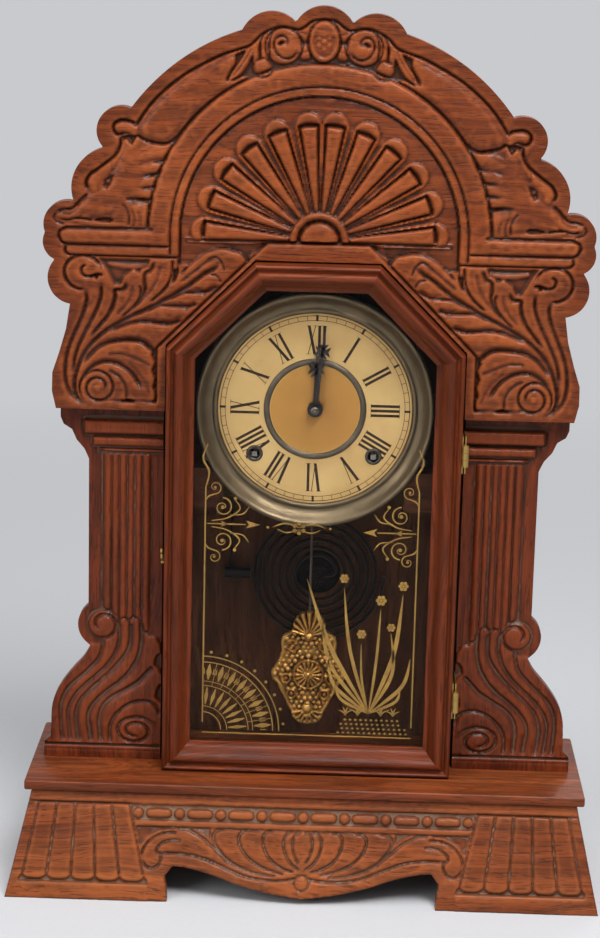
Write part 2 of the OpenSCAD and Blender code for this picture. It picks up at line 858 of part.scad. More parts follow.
module glass_beads() {
    a = door_points(glass_in + 0.1);
    b = door_points(glass_in + bead_w);
    color(door_red) slab(glass_y + glass_t + 3.4, 3.3) for (i = [0 : 5]) {
        j = (i + 1) % 6;
        polygon([a[i], a[j], b[j], b[i]]);
    }
}

// Hinges: leaves in the gap beside the door, the axis in front of the pilaster
hinge_x = door_hw + 0.2 + knuckle_r;
hinge_y = door_y + 0.5;
hinge_zs = [hinge_low_z, hinge_high_z];
part_h = knuckle_h / 3;
knuckle_gap = 0.15;
leaf_keep = knuckle_r + 0.5;

module knuckle(z, k) {
    translate([hinge_x, hinge_y, z + (k - 1) * part_h])
        cylinder(r = knuckle_r, h = part_h - knuckle_gap, center = true);
}

module hinge_leaves_door() {
    bore = hinge_pin_r + fit;
    color(brass) for (z = hinge_zs) {
        difference() {
            union() {
                knuckle(z, 1);
                translate([door_hw, hinge_y, z - (part_h - knuckle_gap) / 2])
                    cube([leaf_t, leaf_keep + 1, part_h - knuckle_gap]);
            }
            translate([hinge_x, hinge_y, z]) cylinder(r = bore, h = knuckle_h, center = true);
        }
        translate([door_hw, hinge_y + leaf_keep, z - hinge_h / 2])
            cube([leaf_t, door_t - 1 - leaf_keep, hinge_h]);
    }
}

// Leaves on the pilaster with their knuckles and the pins fixed in them
module hinge_leaves_case() {
    y0 = hinge_y + leaf_keep;
    x = pilaster_in - leaf_t;
    color(brass) for (z = hinge_zs) {
        for (k = [0, 2]) {
            knuckle(z, k);
            translate([x, hinge_y, z + (k - 1) * part_h - (part_h - knuckle_gap) / 2])
                cube([leaf_t, leaf_keep + 1, part_h - knuckle_gap]);
        }
        translate([x, y0, z - hinge_h / 2]) cube([leaf_t, frame_y - 0.5 - y0, hinge_h]);
        translate([hinge_x, hinge_y, z]) {
            cylinder(r = hinge_pin_r, h = knuckle_h, center = true);
            for (s = [-1, 1]) translate([0, 0, s * (knuckle_h / 2 + 0.1)])
                cylinder(r = hinge_pin_r + 0.4, h = 0.6, center = true);
        }
    }
}

// Catch: a thin brass hook beside the left stile, drawn in depth and height, lifted clear
catch_x = -door_hw - 1.1;
catch_y = door_y + 8;
catch_pin_r = 1;
catch_pivot_y = pilaster_y + 3;
catch_lift = 14;

module catch_shape() {
    reach = catch_pivot_y - catch_y;
    difference() {
        union() {
            circle(r = 3.2);
            polygon([[-reach - 4, -2.4], [-reach - 4, 3], [-reach, 4], [0, 3], [0, -2.4]]);
            translate([-reach - 4, 0.5]) circle(r = 3);
            polygon([[-reach - 4, -1], [-reach - 4, 2.8], [-reach - 9.5, 4.6], [-reach - 9.5, 2.4]]);
        }
        circle(r = catch_pin_r + fit);
        translate([-reach, 0]) circle(r = catch_pin_r + 0.35);
        translate([-reach - catch_pin_r - 0.35, -4]) square([2 * catch_pin_r + 0.7, 4]);
    }
}

module catch_hook() {
    color(brass) translate([catch_x, catch_pivot_y, catch_z]) rotate([-catch_lift, 0, 0])
        rotate([90, 0, -90]) linear_extrude(catch_t) mirror([1, 0]) catch_shape();
}

// Pivot of the catch in the edge of the pilaster
module catch_screw() {
    color(brass) translate([-pilaster_in, catch_pivot_y, catch_z]) rotate([0, 90, 0]) {
        cylinder(r = catch_pin_r, h = pilaster_in + catch_x + 0.2);
        translate([0, 0, pilaster_in + catch_x + 0.1]) cylinder(r = catch_pin_r + 1, h = 0.6);
    }
}

// Pin in the edge of the door that the catch drops over
module catch_pin() {
    color(brass) translate([catch_x - catch_t - 0.1, catch_y, catch_z]) rotate([0, 90, 0])
        cylinder(r = catch_pin_r, h = 7);
}

// Dial: drawn as radius and height toward the front, on the paper's plane
module dial_part() turned([0, dial_z], paper_y) children();

module wind_holes(r) {
    for (s = [-1, 1]) translate([s * wind_x, dial_z - wind_drop]) circle(r = r);
}

arbor_hole_r = 5;

// Radius in the rim of the pan, from the paper at 0 to the outside at 1
function rim(share) = paper_r + (dial_r - paper_r) * share;

module dial_pan() {
    color(old_nickel) difference() {
        dial_part() polygon([[0, 0], [paper_r, 0], [rim(0.07), 1.6], [rim(0.19), 1.8],
            [rim(0.24), 1], [rim(0.36), 1.2], [rim(0.61), 3.6], [rim(0.78), 6.6],
            [rim(0.87), 7], [dial_r, 6.2], [dial_r, -1], [dial_r - pan_t, -1],
            [dial_r - pan_t, 5.2], [rim(0.855), 6.1], [rim(0.64), 2.8], [rim(0.385), 0.2],
            [rim(0.1), -pan_t], [0, -pan_t]]);
        slab(paper_y + 5, 10) {
            translate([0, dial_z]) circle(r = arbor_hole_r);
            wind_holes(wind_hole_r);
        }
    }
}

paper_t = 0.3;

module dial_paper() {
    color(cream) slab(paper_y, paper_t) difference() {
        translate([0, dial_z]) circle(r = paper_r - 0.2, $fn = 128);
        translate([0, dial_z]) circle(r = arbor_hole_r);
        wind_holes(wind_hole_r);
    }
}

// Metal ring in the middle of the dial and the grommets of the winding holes
module dial_trim() {
    w = ring_w;
    h = wind_hole_r;
    color(old_nickel) {
        turned([0, dial_z], paper_y - paper_t) polygon([[ring_r - w, 0], [ring_r, 0],
            [ring_r - w * 0.2, 0.9], [ring_r - w / 2, 1.3], [ring_r - w * 0.8, 0.9]]);
        for (s = [-1, 1]) turned([s * wind_x, dial_z - wind_drop], paper_y - paper_t)
            polygon([[h - 0.8, -1.2], [h - 0.05, -1.2], [h - 0.05, 0], [h + 1.2, 0], [h + 0.8, 0.6],
                [h, 0.8], [h - 0.8, 0.5]]);
    }
}

// Corner blocks behind the rim of the dial, on the front frame
module dial_blocks() {
    color(pine) for (s = [-1, 1], t = [-1, 1]) slab(frame_back_y, frame_back_y - paper_y - 1.1)
        intersection() {
            translate([s * (door_hw - stop_lap - 13), dial_z + t * 54]) square([26, 26], center = true);
            door_outline(stop_lap);
        }
}

// Pointed teeth: n of them at module m, ad and de the tip and root in modules,
// root_w and tip_w their widths as shares of the pitch
module toothed(n, m, ad, de, root_w, tip_w) {
    r = n * m / 2;
    polygon([for (i = [0 : n - 1], k = [[-root_w, -de], [-tip_w, ad], [tip_w, ad], [root_w, -de]])
        let (a = (i + k[0] / 2) * 360 / n, q = r + k[1] * m) [q * cos(a), q * sin(a)]]);
}

module wheel_teeth(n, m) toothed(n, m, 0.85, 1.15, 0.52, 0.14);

module pinion_leaves(n, m) toothed(n, m, 0.45, 1.15, 0.3, 0.22);

// Angle of the driven wheel that puts one of its gaps opposite a tooth of the driver
function mesh(dir, a, n1, n2) = dir + 180 + ((dir - a) * n1 / 360 - 0.5) * 360 / n2;

function heading(p, q) = atan2(q[1] - p[1], q[0] - p[0]);

// Where two circles round p and q meet, on the left of the way from p to q for side = 1
function meet(p, rp, q, rq, side) =
    let (v = q - p, d = norm(v), a = (rp * rp - rq * rq + d * d) / (2 * d),
        h = sqrt(max(rp * rp - a * a, 0)), u = v / d)
            p + u * a + [-u[1], u[0]] * h * side;

function reach(n1, n2, m) = (n1 + n2) * m / 2;

// Places of the arbors, seen from the front
centre = [0, dial_z];
time_at = centre + [wind_x, -wind_drop];
strike_at = centre + [-wind_x, -wind_drop];
second_at = meet(centre, reach(second_n, centre_leaves, second_m), time_at,
    reach(main_n, second_leaves, main_m), 1);
escape_at = centre + [0, 31];
third_at = meet(centre, reach(centre_n, third_leaves, second_m), escape_at,
    reach(third_n, third_leaves, third_m), -1);
strike_second_at = strike_at + reach(main_n, second_leaves, main_m) * [cos(70), sin(70)];
strike_third_at = strike_second_at
    + reach(second_n, centre_leaves, second_m) * [cos(100), sin(100)];
fly_at = strike_third_at + reach(fly_n, third_leaves, second_m) * [cos(75), sin(75)];
verge_at = centre + [0, 50];
motion_r = reach(cannon_n, minute_n, motion_m);
hour_m = 2 * motion_r / (minute_leaves + hour_n);
minute_at = centre + motion_r * [cos(215), sin(215)];
hammer_at = centre + [-54, 10];

// Depths of the wheels behind the inner face of the front plate
layer_second = inner_y + 0.5;
layer_main = inner_y + 2.6;
layer_centre = inner_y + 8.5;
layer_third = inner_y + 12.5;
layer_escape = inner_y + 4.6;
layer_fly = inner_y + 12;
main_t = 1.8;
spring_y0 = layer_main + main_t + 3.4;

// A spoked wheel with its front face at y = front
module wheel(p, a, n, m, t, front, spokes = 4) {
    r = n * m / 2;
    rim_in = r - 1.15 * m - 1.6;
    hub = arbor_r + 2.2;
    slab(front + t, t) translate(p) rotate(a) difference() {
        wheel_teeth(n, m);
        circle(r = arbor_r);
        difference() {
            circle(r = rim_in);
            circle(r = hub);
            for (k = [0 : spokes - 1]) rotate(k * 360 / spokes) translate([0, -0.9]) square([r, 1.8]);
        }
    }
}

// An arbor between the plates with its two pivots
module arbor(p, r = arbor_r) {
    bar(p, r, inner_y + 0.2, inner_back_y - 0.2);
    bar(p, pivot_r, plate_y + 0.2, plate_back_y - 0.2);
}

module pinion(p, a, n, m, front, t) {
    slab(front + t, t) translate(p) rotate(a) pinion_leaves(n, m);
}

time_main_a = 0;
second_pinion_a = mesh(heading(time_at, second_at), time_main_a, main_n, second_leaves);
second_a = 0;
centre_pinion_a = mesh(heading(second_at, centre), second_a, second_n, centre_leaves);
centre_a = 0;
third_pinion_a = mesh(heading(centre, third_at), centre_a, centre_n, third_leaves);
third_a = 0;
escape_pinion_a = mesh(heading(third_at, escape_at), third_a, third_n, third_leaves);
strike_second_pinion_a = mesh(heading(strike_at, strike_second_at), 0, main_n, second_leaves);
strike_third_pinion_a = mesh(heading(strike_second_at, strike_third_at), 0, second_n, centre_leaves);
fly_pinion_a = mesh(heading(strike_third_at, fly_at), 0, fly_n, third_leaves);
minute_a = mesh(heading(centre, minute_at), 0, cannon_n, minute_n);
hour_a = mesh(heading(minute_at, centre), 0, minute_leaves, hour_n);

ratchet_n = 14;
ratchet_r = 8;

// Main wheel, free on its winding arbor, with the click that holds the ratchet
module main_wheel(p, a) {
    r = main_n * main_m / 2;
    rim_in = r - 1.15 * main_m - 2.2;
    slab(layer_main + main_t, main_t) translate(p) rotate(a) difference() {
        wheel_teeth(main_n, main_m);
        circle(r = wind_r + fit);
        difference() {
            circle(r = rim_in);
            circle(r = wind_r + 8);
            for (k = [0 : 4]) rotate(k * 72) translate([0, -1.4]) square([r, 2.8]);
        }
    }
    // Click on its stud behind the wheel
    translate([p[0], 0, p[1]]) {
        slab(layer_main + main_t + 1.4, 1.4) rotate(a) translate([ratchet_r + 1.9, 0]) difference() {
            union() {
                circle(r = 1.6);
                polygon([[-1, 1], [-1.4, -3.4], [0.2, -4.2], [1.4, 0]]);
            }
            circle(r = 0.8);
        }
        slab(layer_main + main_t + 1.8, 1.8) rotate(a) translate([ratchet_r + 1.9, 0]) circle(r = 0.8);
    }
}

module time_main_wheel() color(brass) main_wheel(time_at, time_main_a);

module strike_main_wheel() color(brass) main_wheel(strike_at, 0);

module winding_arbor(p) {
    bar(p, wind_r, inner_y + 0.2, inner_back_y - 0.2);
    bar(p, pivot_r * 2, plate_y - 0.3, plate_back_y - 0.2);
    translate([p[0] - square_w / 2, paper_y - 1.5, p[1] - square_w / 2])
        cube([square_w, plate_set + 1.4, square_w]);
    slab(layer_main + main_t + 1.4, 1.2) translate(p) difference() {
        polygon([for (i = [0 : ratchet_n - 1], k = [[0, 0], [0.9, -1.2]])
            let (a = (i + k[0]) * 360 / ratchet_n) (ratchet_r + k[1]) * [cos(a), sin(a)]]);
    }
}

module time_winding_arbor() color(steel) winding_arbor(time_at);

module strike_winding_arbor() color(steel) winding_arbor(strike_at);

// A coiled strip of spring steel round each winding arbor
spring_turns = 7;
spring_in = 3.1;
spring_out = 21.5;
spring_strip = 0.5;
spring_steps = 16;

function spring_r(i) = spring_in + (spring_out - spring_in) * i / (spring_turns * spring_steps);

module spring_shape() {
    last = spring_turns * spring_steps;
    polygon(concat(
        [for (i = [0 : last]) let (a = i * 360 / spring_steps) spring_r(i) * [cos(a), sin(a)]],
        [for (i = [last : -1 : 0]) let (a = i * 360 / spring_steps)
            (spring_r(i) + spring_strip) * [cos(a), sin(a)]]));
}

module mainsprings() {
    width = inner_back_y - 0.8 - spring_y0;
    color(blued) {
        slab(spring_y0 + width, width) translate(time_at) spring_shape();
        slab(spring_y0 + width, width) translate(strike_at) mirror([1, 0]) spring_shape();
    }
}

module time_second_wheel() {
    color(brass) {
        wheel(second_at, second_a, second_n, second_m, wheel_t, layer_second);
        pinion(second_at, second_pinion_a, second_leaves, main_m, layer_main - 0.3, main_t + 1);
    }
    color(steel) arbor(second_at);
}

hour_pipe_r = 3.2;
cannon_r = 2;
cannon_front = paper_y - 6.4;
minute_y = paper_y - 5.2;
hour_y = paper_y - 3.4;

// Centre wheel with its pinion, and the long arbor that carries the minute hand
module centre_wheel() {
    color(brass) {
        wheel(centre, centre_a, centre_n, second_m, wheel_t, layer_centre);
        pinion(centre, centre_pinion_a, centre_leaves, second_m, layer_second - 0.2, wheel_t + 0.5);
        slab(plate_y - 0.4, 2) translate(centre) pinion_leaves(cannon_n, motion_m);
        bar(centre, cannon_r, minute_y + hand_t, plate_y - 0.4);
    }
    color(steel) {
        bar(centre, arbor_r, inner_y + 0.2, inner_back_y - 0.2);
        bar(centre, pivot_r, inner_back_y - 0.3, plate_back_y - 0.2);
        bar(centre, pivot_r, plate_y - 0.5, inner_y + 0.3);
        bar(centre, pivot_r, cannon_front, minute_y + hand_t + 0.1);
    }
}

module third_wheel() {
    color(brass) {
        wheel(third_at, third_a, third_n, third_m, wheel_t, layer_third);
        pinion(third_at, third_pinion_a, third_leaves, second_m, layer_centre - 0.5, wheel_t + 1);
    }
    color(steel) arbor(third_at);
}

// Thin arbor of the escape wheel, just over the roots of its pinion leaves
escape_arbor_r = third_leaves * third_m / 2 - 1.15 * third_m + 0.04;

module escape_wheel() {
    color(brass) {
        slab(layer_escape + 0.9, 0.9) translate(escape_at) difference() {
            polygon([for (i = [0 : escape_n - 1], k = [[0, 0], [0.12, 0], [0.75, -1.7]])
                let (a = (i + k[0]) * 360 / escape_n) (escape_r + k[1]) * [cos(a), sin(a)]]);
            circle(r = escape_arbor_r);
            difference() {
                circle(r = escape_r - 3.2);
                circle(r = 3);
                for (k = [0 : 3]) rotate(k * 90) translate([0, -0.8]) square([escape_r, 1.6]);
            }
        }
        pinion(escape_at, escape_pinion_a, third_leaves, third_m, layer_third - 0.4, wheel_t + 0.8);
    }
    color(steel) arbor(escape_at, escape_arbor_r);
}

// Height of the crutch loop over the dial middle, and the plane of the pendulum
crutch_up = 24;
rod_y = paper_y + 6;
loop_gap = 0.4;
crutch_y = rod_y + wire_r + loop_gap + 0.6;
pallet_out = 0.75;
pallet_at = 35;

module verge() {
    tip = escape_at + (escape_r + pallet_out) * [sin(pallet_at), cos(pallet_at)];
    color(steel) {
        bar(verge_at, arbor_r, layer_escape - 0.6, layer_escape + 1.5);
        bar(verge_at, pivot_r, crutch_y - 0.6, plate_back_y - 0.2);
        slab(layer_escape + 0.9, 0.9) both2d() polygon([verge_at + [0, 1.6], verge_at + [0, -1.2],
            tip + [-0.9, 1.4], tip, tip + [0.9, 0.8], tip + [0.6, 2.4]]);
        // Crutch wire behind the pendulum rod, with its loop round the rod
        translate([0, crutch_y, dial_z + crutch_up]) cylinder(r = 0.6, h = verge_at[1] - dial_z - crutch_up);
        translate([0, rod_y, dial_z + crutch_up]) rotate_extrude()
            translate([crutch_y - rod_y, 0]) circle(r = 0.6, $fn = 24);
    }
}

module minute_wheel() {
    color(brass) slab(plate_y - 0.9, 1) translate(minute_at) rotate(minute_a) difference() {
        wheel_teeth(minute_n, motion_m);
        circle(r = pivot_r + fit);
    }
    color(steel) slab(plate_y - 1.9, 2.4) translate(minute_at) difference() {
        pinion_leaves(minute_leaves, hour_m);
        circle(r = pivot_r + fit);
    }
}

module hour_wheel() {
    color(brass) difference() {
        union() {
            slab(plate_y - 3, 1) translate(centre) rotate(hour_a) wheel_teeth(hour_n, hour_m);
            bar(centre, hour_pipe_r, hour_y - 0.3, plate_y - 3);
        }
        bar(centre, cannon_r + fit, hour_y - 1, plate_y);
    }
}

module hour_hand() {
    color(blued) slab(hour_y + hand_t, hand_t) translate(centre) rotate(hour_tilt) difference() {
        union() {
            circle(r = hour_pipe_r + 1.6);
            polygon([[-1.5, 0], [1.5, 0], [1, hour_len * 0.62], [-1, hour_len * 0.62]]);
            translate([0, hour_len * 0.7]) maltese(7);
            polygon([[-1.2, hour_len * 0.7], [1.2, hour_len * 0.7], [0, hour_len]]);
        }
        circle(r = hour_pipe_r + 0.02);
    }
}

// Angles of the hands: a minute past twelve
hour_tilt = -0.5;
minute_tilt = -6;

// Cross with four widening arms
module maltese(r) {
    for (k = [0 : 3]) rotate(k * 90) polygon([[-0.6, 0], [0.6, 0], [r * 0.45, r * 0.62], [0, r * 0.5],
        [-r * 0.45, r * 0.62]]);
}

module minute_hand() {
    color(blued) slab(minute_y + hand_t, hand_t) translate(centre) rotate(minute_tilt) difference() {
        union() {
            circle(r = 4.2);
            polygon([[-1.5, 0], [1.5, 0], [0.9, minute_len * 0.66], [-0.9, minute_len * 0.66]]);
            translate([0, minute_len * 0.7]) maltese(7);
            polygon([[-1, minute_len * 0.7], [1, minute_len * 0.7], [0, minute_len]]);
        }
        circle(r = pivot_r + 0.02);
    }
}

module hand_nut() {
    r = pivot_r + 0.02;
    color(brass) turned(centre, minute_y) polygon([[r, 0], [2.6, 0], [2.4, 0.8], [1.5, 1.3], [r, 1.4]]);
}

all_arbors = [second_at, third_at, escape_at, verge_at, strike_second_at, strike_third_at, fly_at,
    hammer_at];
pillar_x = plate_w / 2 - 6;
pillar_z = plate_h / 2 - 6;
plate_mid = dial_z - 1;

module plate_shape() {
    difference() {
        translate([-plate_w / 2, plate_mid - plate_h / 2]) square([plate_w, plate_h]);
        for (p = concat(all_arbors, [centre])) translate(p) circle(r = pivot_r + fit);
        for (p = [time_at, strike_at]) translate(p) circle(r = pivot_r * 2 + fit);
        // Cut away shapes between the trains
        translate([0, dial_z - 45]) circle(r = 12);
        for (s = [-1, 1]) translate([s * 58, dial_z - 8]) circle(r = 5);
    }
}

// Front plate with the stud of the minute wheel, the boss of the count wheel
// and the slotted post of the suspension
count_boss = 4.2;
count_y = plate_y - 2.2;

module front_plate() {
    post = suspension_up + 3;
    color(brass) {
        slab(inner_y, plate_t) plate_shape();
        bar(minute_at, pivot_r, plate_y - 4.6, plate_y + 0.1);
        bar(minute_at, pivot_r + 0.8, plate_y - 0.8, plate_y + 0.1);
        difference() {
            translate([-3, rod_y - 2.5, dial_z + post - 2.5]) cube([6, plate_y - rod_y + 2.6, 5]);
            translate([-0.35, rod_y - 3, dial_z + post - 3]) cube([0.7, 6, 4.6]);
        }
        difference() {
            bar(strike_at, count_boss, count_y - 0.6, plate_y + 0.1);
            bar(strike_at, square_w * 0.8, count_y - 1, plate_y + 0.2);
        }
    }
}

foot_w = 14;

module back_plate() {
    color(brass) {
        slab(plate_back_y, plate_t) plate_shape();
        for (s = [-1, 1], t = [-1, 1])
            bar([s * pillar_x, plate_mid + t * pillar_z], pillar_r, inner_y, inner_back_y + 0.1);
        // Feet that carry the movement on the rails
        for (s = [-1, 1], t = [-1, 1]) slab(plate_back_y, plate_t)
            translate([s * (plate_w / 2 + foot_w / 2 - 1), plate_mid + t * foot_z]) difference() {
                square([foot_w, 12], center = true);
                translate([s * 3, 0]) circle(r = 1.6);
            }
    }
}

foot_z = plate_h / 2 - 20;
rail_w = 16;

// Two upright wooden strips on the back board
module movement_rails() {
    low = dial_z - plate_h / 2 - 22;
    color(pine) both() translate([plate_w / 2 + 2, plate_back_y, low])
        cube([rail_w, board_y - plate_back_y, case_top_z - case_top_t - low]);
}

module screw(p, y, r, l) {
    bar(p, r, y, y + l);
    turned(p, y) polygon([[0, 0], [r * 2, 0], [r * 1.7, 0.7], [r * 0.9, 1.1], [0, 1.2]]);
}

// Screws of the movement feet
module wood_screws() {
    color(steel) for (s = [-1, 1], t = [-1, 1])
        screw([s * (plate_w / 2 + foot_w / 2 + 2), plate_mid + t * foot_z], plate_back_y - plate_t, 1.5, plate_t);
}

module strike_second_wheel() {
    color(brass) {
        wheel(strike_second_at, 0, second_n, second_m, wheel_t, layer_second);
        pinion(strike_second_at, strike_second_pinion_a, second_leaves, main_m, layer_main - 0.3,
            main_t + 1);
    }
    color(steel) arbor(strike_second_at);
}

module strike_third_wheel() {
    color(brass) {
        wheel(strike_third_at, 0, fly_n, second_m, wheel_t, layer_centre);
        pinion(strike_third_at, strike_third_pinion_a, centre_leaves, second_m, layer_second - 0.2,
            wheel_t + 0.5);
    }
    color(steel) arbor(strike_third_at);
}

fly_w = 9;

module fly() {
    color(brass) {
        pinion(fly_at, fly_pinion_a, third_leaves, second_m, layer_centre - 0.4, wheel_t + 0.8);
        translate([fly_at[0] - fly_w, layer_fly, fly_at[1] + arbor_r - 0.2]) cube([2 * fly_w, 10, 0.6]);
    }
    color(steel) arbor(fly_at);
}

function blows(h) = h * (h - 1) / 2;

// Count wheel on its boss in front of the plate, with a deep notch for each hour
module count_wheel() {
    color(brass) slab(count_y + 1, 1) translate(strike_at) difference() {
        circle(r = count_r);
        circle(r = count_boss + fit);
        for (h = [1 : 12]) rotate(blows(h) * 360 / 78) translate([count_r - 2.4, -0.8]) square([4, 1.6]);
    }
}

hammer_y = plate_back_y + 4.5;
hammer_drop = dial_z + 10 - gong_z;
gong_out = gong_inner + gong_pitch * (gong_turns - 0.5);
head_x = gong_x - gong_out - gong_wire - 2;

module hammer() {
    color(steel) {
        bar(hammer_at, arbor_r, inner_y + 0.2, inner_back_y - 0.2);
        bar(hammer_at, pivot_r, plate_y + 0.2, hammer_y + 1.5);
        translate([hammer_at[0], hammer_y, hammer_at[1] - hammer_drop])
            cylinder(r = 0.8, h = hammer_drop + 1.5);
        translate([hammer_at[0], hammer_y, hammer_at[1]]) rotate([90, 0, 0])
            cylinder(r = 2, h = 3, center = true);
    }
    color(brass) translate([hammer_at[0] - 4, hammer_y, gong_z]) rotate([0, 90, 0])
        cylinder(r = 3.6, h = head_x - hammer_at[0] + 4);
}

module pendulum_rod() {
    top = dial_z + suspension_up;
    ring = 8.5;
    low = top - pendulum_len + bob_h / 2 - 8;
    color(steel) {
        // Suspension strip in the slot of its post, clear of the crutch behind it
        translate([-0.15, rod_y - 2, top - 6]) cube([0.3, 2 + wire_r, 8]);
        translate([0, rod_y, dial_z + ring]) cylinder(r = wire_r, h = top - 4 - dial_z - ring);
        translate([0, rod_y, dial_z]) rotate([90, 0, 0]) rotate_extrude()
            translate([ring + wire_r, 0]) circle(r = wire_r, $fn = 24);
        translate([0, rod_y, low]) cylinder(r = wire_r, h = dial_z - ring - low);
    }
}

// Bob: a pressed front with a shell over a beaded body, drawn from its middle
module bob_outline() {
    polygon(concat(
        [for (q = spline([[0, -39], [6, -36], [8, -30], [10, -22], [15, -12], [23.5, -4], [21, 6], [15, 14],
            [15, 22], [9, 28], [7, 34], [0, 39]], 3)) [q[0] * bob_w / 23.5, q[1] * bob_h / 78]],
        [for (q = spline([[0, 39], [-7, 34], [-9, 28], [-15, 22], [-15, 14], [-21, 6], [-23.5, -4],
            [-15, -12], [-10, -22], [-8, -30], [-6, -36], [0, -39]], 3))
                [q[0] * bob_w / 23.5, q[1] * bob_h / 78]]));
}

module pendulum_bob() {
    mid = [0, dial_z + suspension_up - pendulum_len];
    color(brass) difference() {
        union() {
            slab(rod_y + 2, 3) translate(mid) bob_outline();
            turned(mid + [0, -6], rod_y - 0.9) polygon([[0, 0], [15, 0], [14, 1.6], [10, 3], [0, 3.6]]);
            turned(mid + [0, 18], rod_y - 0.9) polygon([[0, 0], [8, 0], [7, 1.4], [0, 2.4]]);
            turned(mid + [0, -28], rod_y - 0.9) polygon([[0, 0], [6, 0], [5, 1.2], [0, 2]]);
        }
        translate([0, rod_y, mid[1] + bob_h / 2 - 9]) cylinder(r = wire_r + fit, h = 20);
    }
}

// Gong: one round wire wound into a flat spiral, its inner end let into the post of its base
gong_y = board_y - 8;
gong_sides = 6;
gong_rings = 24;
post_half = 5;

function gong_point(i) =
    let (a = i * 360 / gong_rings, r = gong_inner + gong_pitch * i / gong_rings)
        [gong_x + r * cos(a), gong_z + r * sin(a)];

// The wire leaves the post straight, bends upward and runs into the spiral
gong_path = concat(
    [for (q = [[0, 0], [2 * gong_wire, 0], [4.4, 0.45], [5.9, 1.6], [7, 3.3]])
        [gong_x + post_half + q[0] * (gong_inner - post_half) / 8, gong_z + q[1]]],
    [for (i = [2 : gong_turns * gong_rings]) gong_point(i)]);

// Normal of the path in the plane of the spiral; square to the wire at its straight end
function path_side(i) = i < 2 ? [0, 1] : side_of(gong_path, i);

function gong_ring(i) =
    [for (k = [0 : gong_sides - 1])
        let (a = k * 360 / gong_sides, q = gong_path[i] + path_side(i) * gong_wire * cos(a))
            [q[0], gong_y + gong_wire * sin(a), q[1]]];

// Least distance between the surfaces of neighbouring turns
gong_gap = min([for (i = [0 : 4 : len(gong_path) - 1], j = [0 : 4 : len(gong_path) - 1])
    if (j > i + gong_rings / 2) norm(gong_path[i] - gong_path[j])]) - 2 * gong_wire;
echo(gong_gap = gong_gap);

module gong_coil() {
    last = len(gong_path) - 1;
    n = gong_sides;
    color(steel) polyhedron(
        points = [for (i = [0 : last]) each gong_ring(i)],
        faces = concat(
            [[for (k = [0 : n - 1]) k]],
            [for (i = [0 : last - 1], k = [0 : n - 1])
                let (a = i * n + k, b = i * n + (k + 1) % n) each [[a, a + n, b], [b, a + n, b + n]]],
            [[for (k = [n - 1 : -1 : 0]) last * n + k]]));
}

module gong_base() {
    color(blued) {
        turned([gong_x, gong_z], board_y) polygon([[0, 0], [gong_base_r, 0], [gong_base_r - 2, 3],
            [7.5, 3.6], [0, 3.6]]);
        translate([gong_x - post_half, gong_y - 4, gong_z - post_half])
            cube([2 * post_half, board_y - gong_y + 3, 2 * post_half]);
    }
}

base_front();
base_side_left();
base_side_right();
base_rear_rail();
ledge();
glue_blocks();
case_side_left();
case_side_right();
case_top();
back_board();
front_frame();
door_stop();
pilaster_left();
pilaster_right();
crest_panel();
crest_backer();
movement_rails();
dial_blocks();
door_stile_left();
door_stile_right();
door_rail_bottom();
door_rail_top();
door_braces();
door_glass();
glass_beads();
hinge_leaves_door();
hinge_leaves_case();
catch_hook();
catch_screw();
catch_pin();
dial_pan();
dial_paper();
dial_trim();
wood_screws();
hour_hand();
minute_hand();
hand_nut();
front_plate();
back_plate();
time_main_wheel();
time_winding_arbor();
strike_main_wheel();
strike_winding_arbor();
mainsprings();
time_second_wheel();
centre_wheel();
third_wheel();
escape_wheel();
verge();
minute_wheel();
hour_wheel();
strike_second_wheel();
strike_third_wheel();
fly();
hammer();
count_wheel();
pendulum_rod();
pendulum_bob();
gong_base();
gong_coil();
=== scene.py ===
"""Carved oak shelf clock: woods, metals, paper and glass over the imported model, with a studio.

Sizes are in millimetres in the outlines and metres in Blender. X runs to the right, -Y toward
the viewer, Z up, and the origin is under the middle of the base.
"""
from functools import reduce
from math import atan2, ceil, cos, hypot, pi, radians, sin, tan

import bmesh
import bpy
import numpy as np
from bpy.props import FloatProperty, FloatVectorProperty, PointerProperty
from mathutils import Matrix, Vector


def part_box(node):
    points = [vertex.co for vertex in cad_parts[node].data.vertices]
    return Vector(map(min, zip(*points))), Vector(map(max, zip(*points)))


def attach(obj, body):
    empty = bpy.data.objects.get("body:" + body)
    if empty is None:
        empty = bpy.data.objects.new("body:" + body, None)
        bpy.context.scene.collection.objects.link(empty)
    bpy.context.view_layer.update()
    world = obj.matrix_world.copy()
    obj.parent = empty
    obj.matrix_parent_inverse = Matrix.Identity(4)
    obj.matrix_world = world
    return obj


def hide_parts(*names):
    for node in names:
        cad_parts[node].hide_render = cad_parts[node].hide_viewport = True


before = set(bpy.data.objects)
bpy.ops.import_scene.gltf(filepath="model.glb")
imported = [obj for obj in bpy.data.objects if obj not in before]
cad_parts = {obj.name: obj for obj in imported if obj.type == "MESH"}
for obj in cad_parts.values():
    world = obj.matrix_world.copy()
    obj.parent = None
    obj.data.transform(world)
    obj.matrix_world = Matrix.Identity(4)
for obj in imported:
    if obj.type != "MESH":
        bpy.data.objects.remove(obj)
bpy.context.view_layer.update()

bl_info = {
    "name": "Carved shelf clock",
    "version": (1, 0, 0),
    "blender": (4, 5, 0),
    "location": "3D View > Sidebar > Clock",
    "description": "Builds the carved woods, dial, glass and studio of a carved oak shelf clock",
    "category": "Add Mesh",
}

MM = 0.001


def face_y(node, side=0):
    """Front (0) or back (1) of a node in millimetres."""
    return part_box(node)[side][1] / MM


def low_z(node):
    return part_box(node)[0][2] / MM


def high_z(node):
    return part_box(node)[1][2] / MM


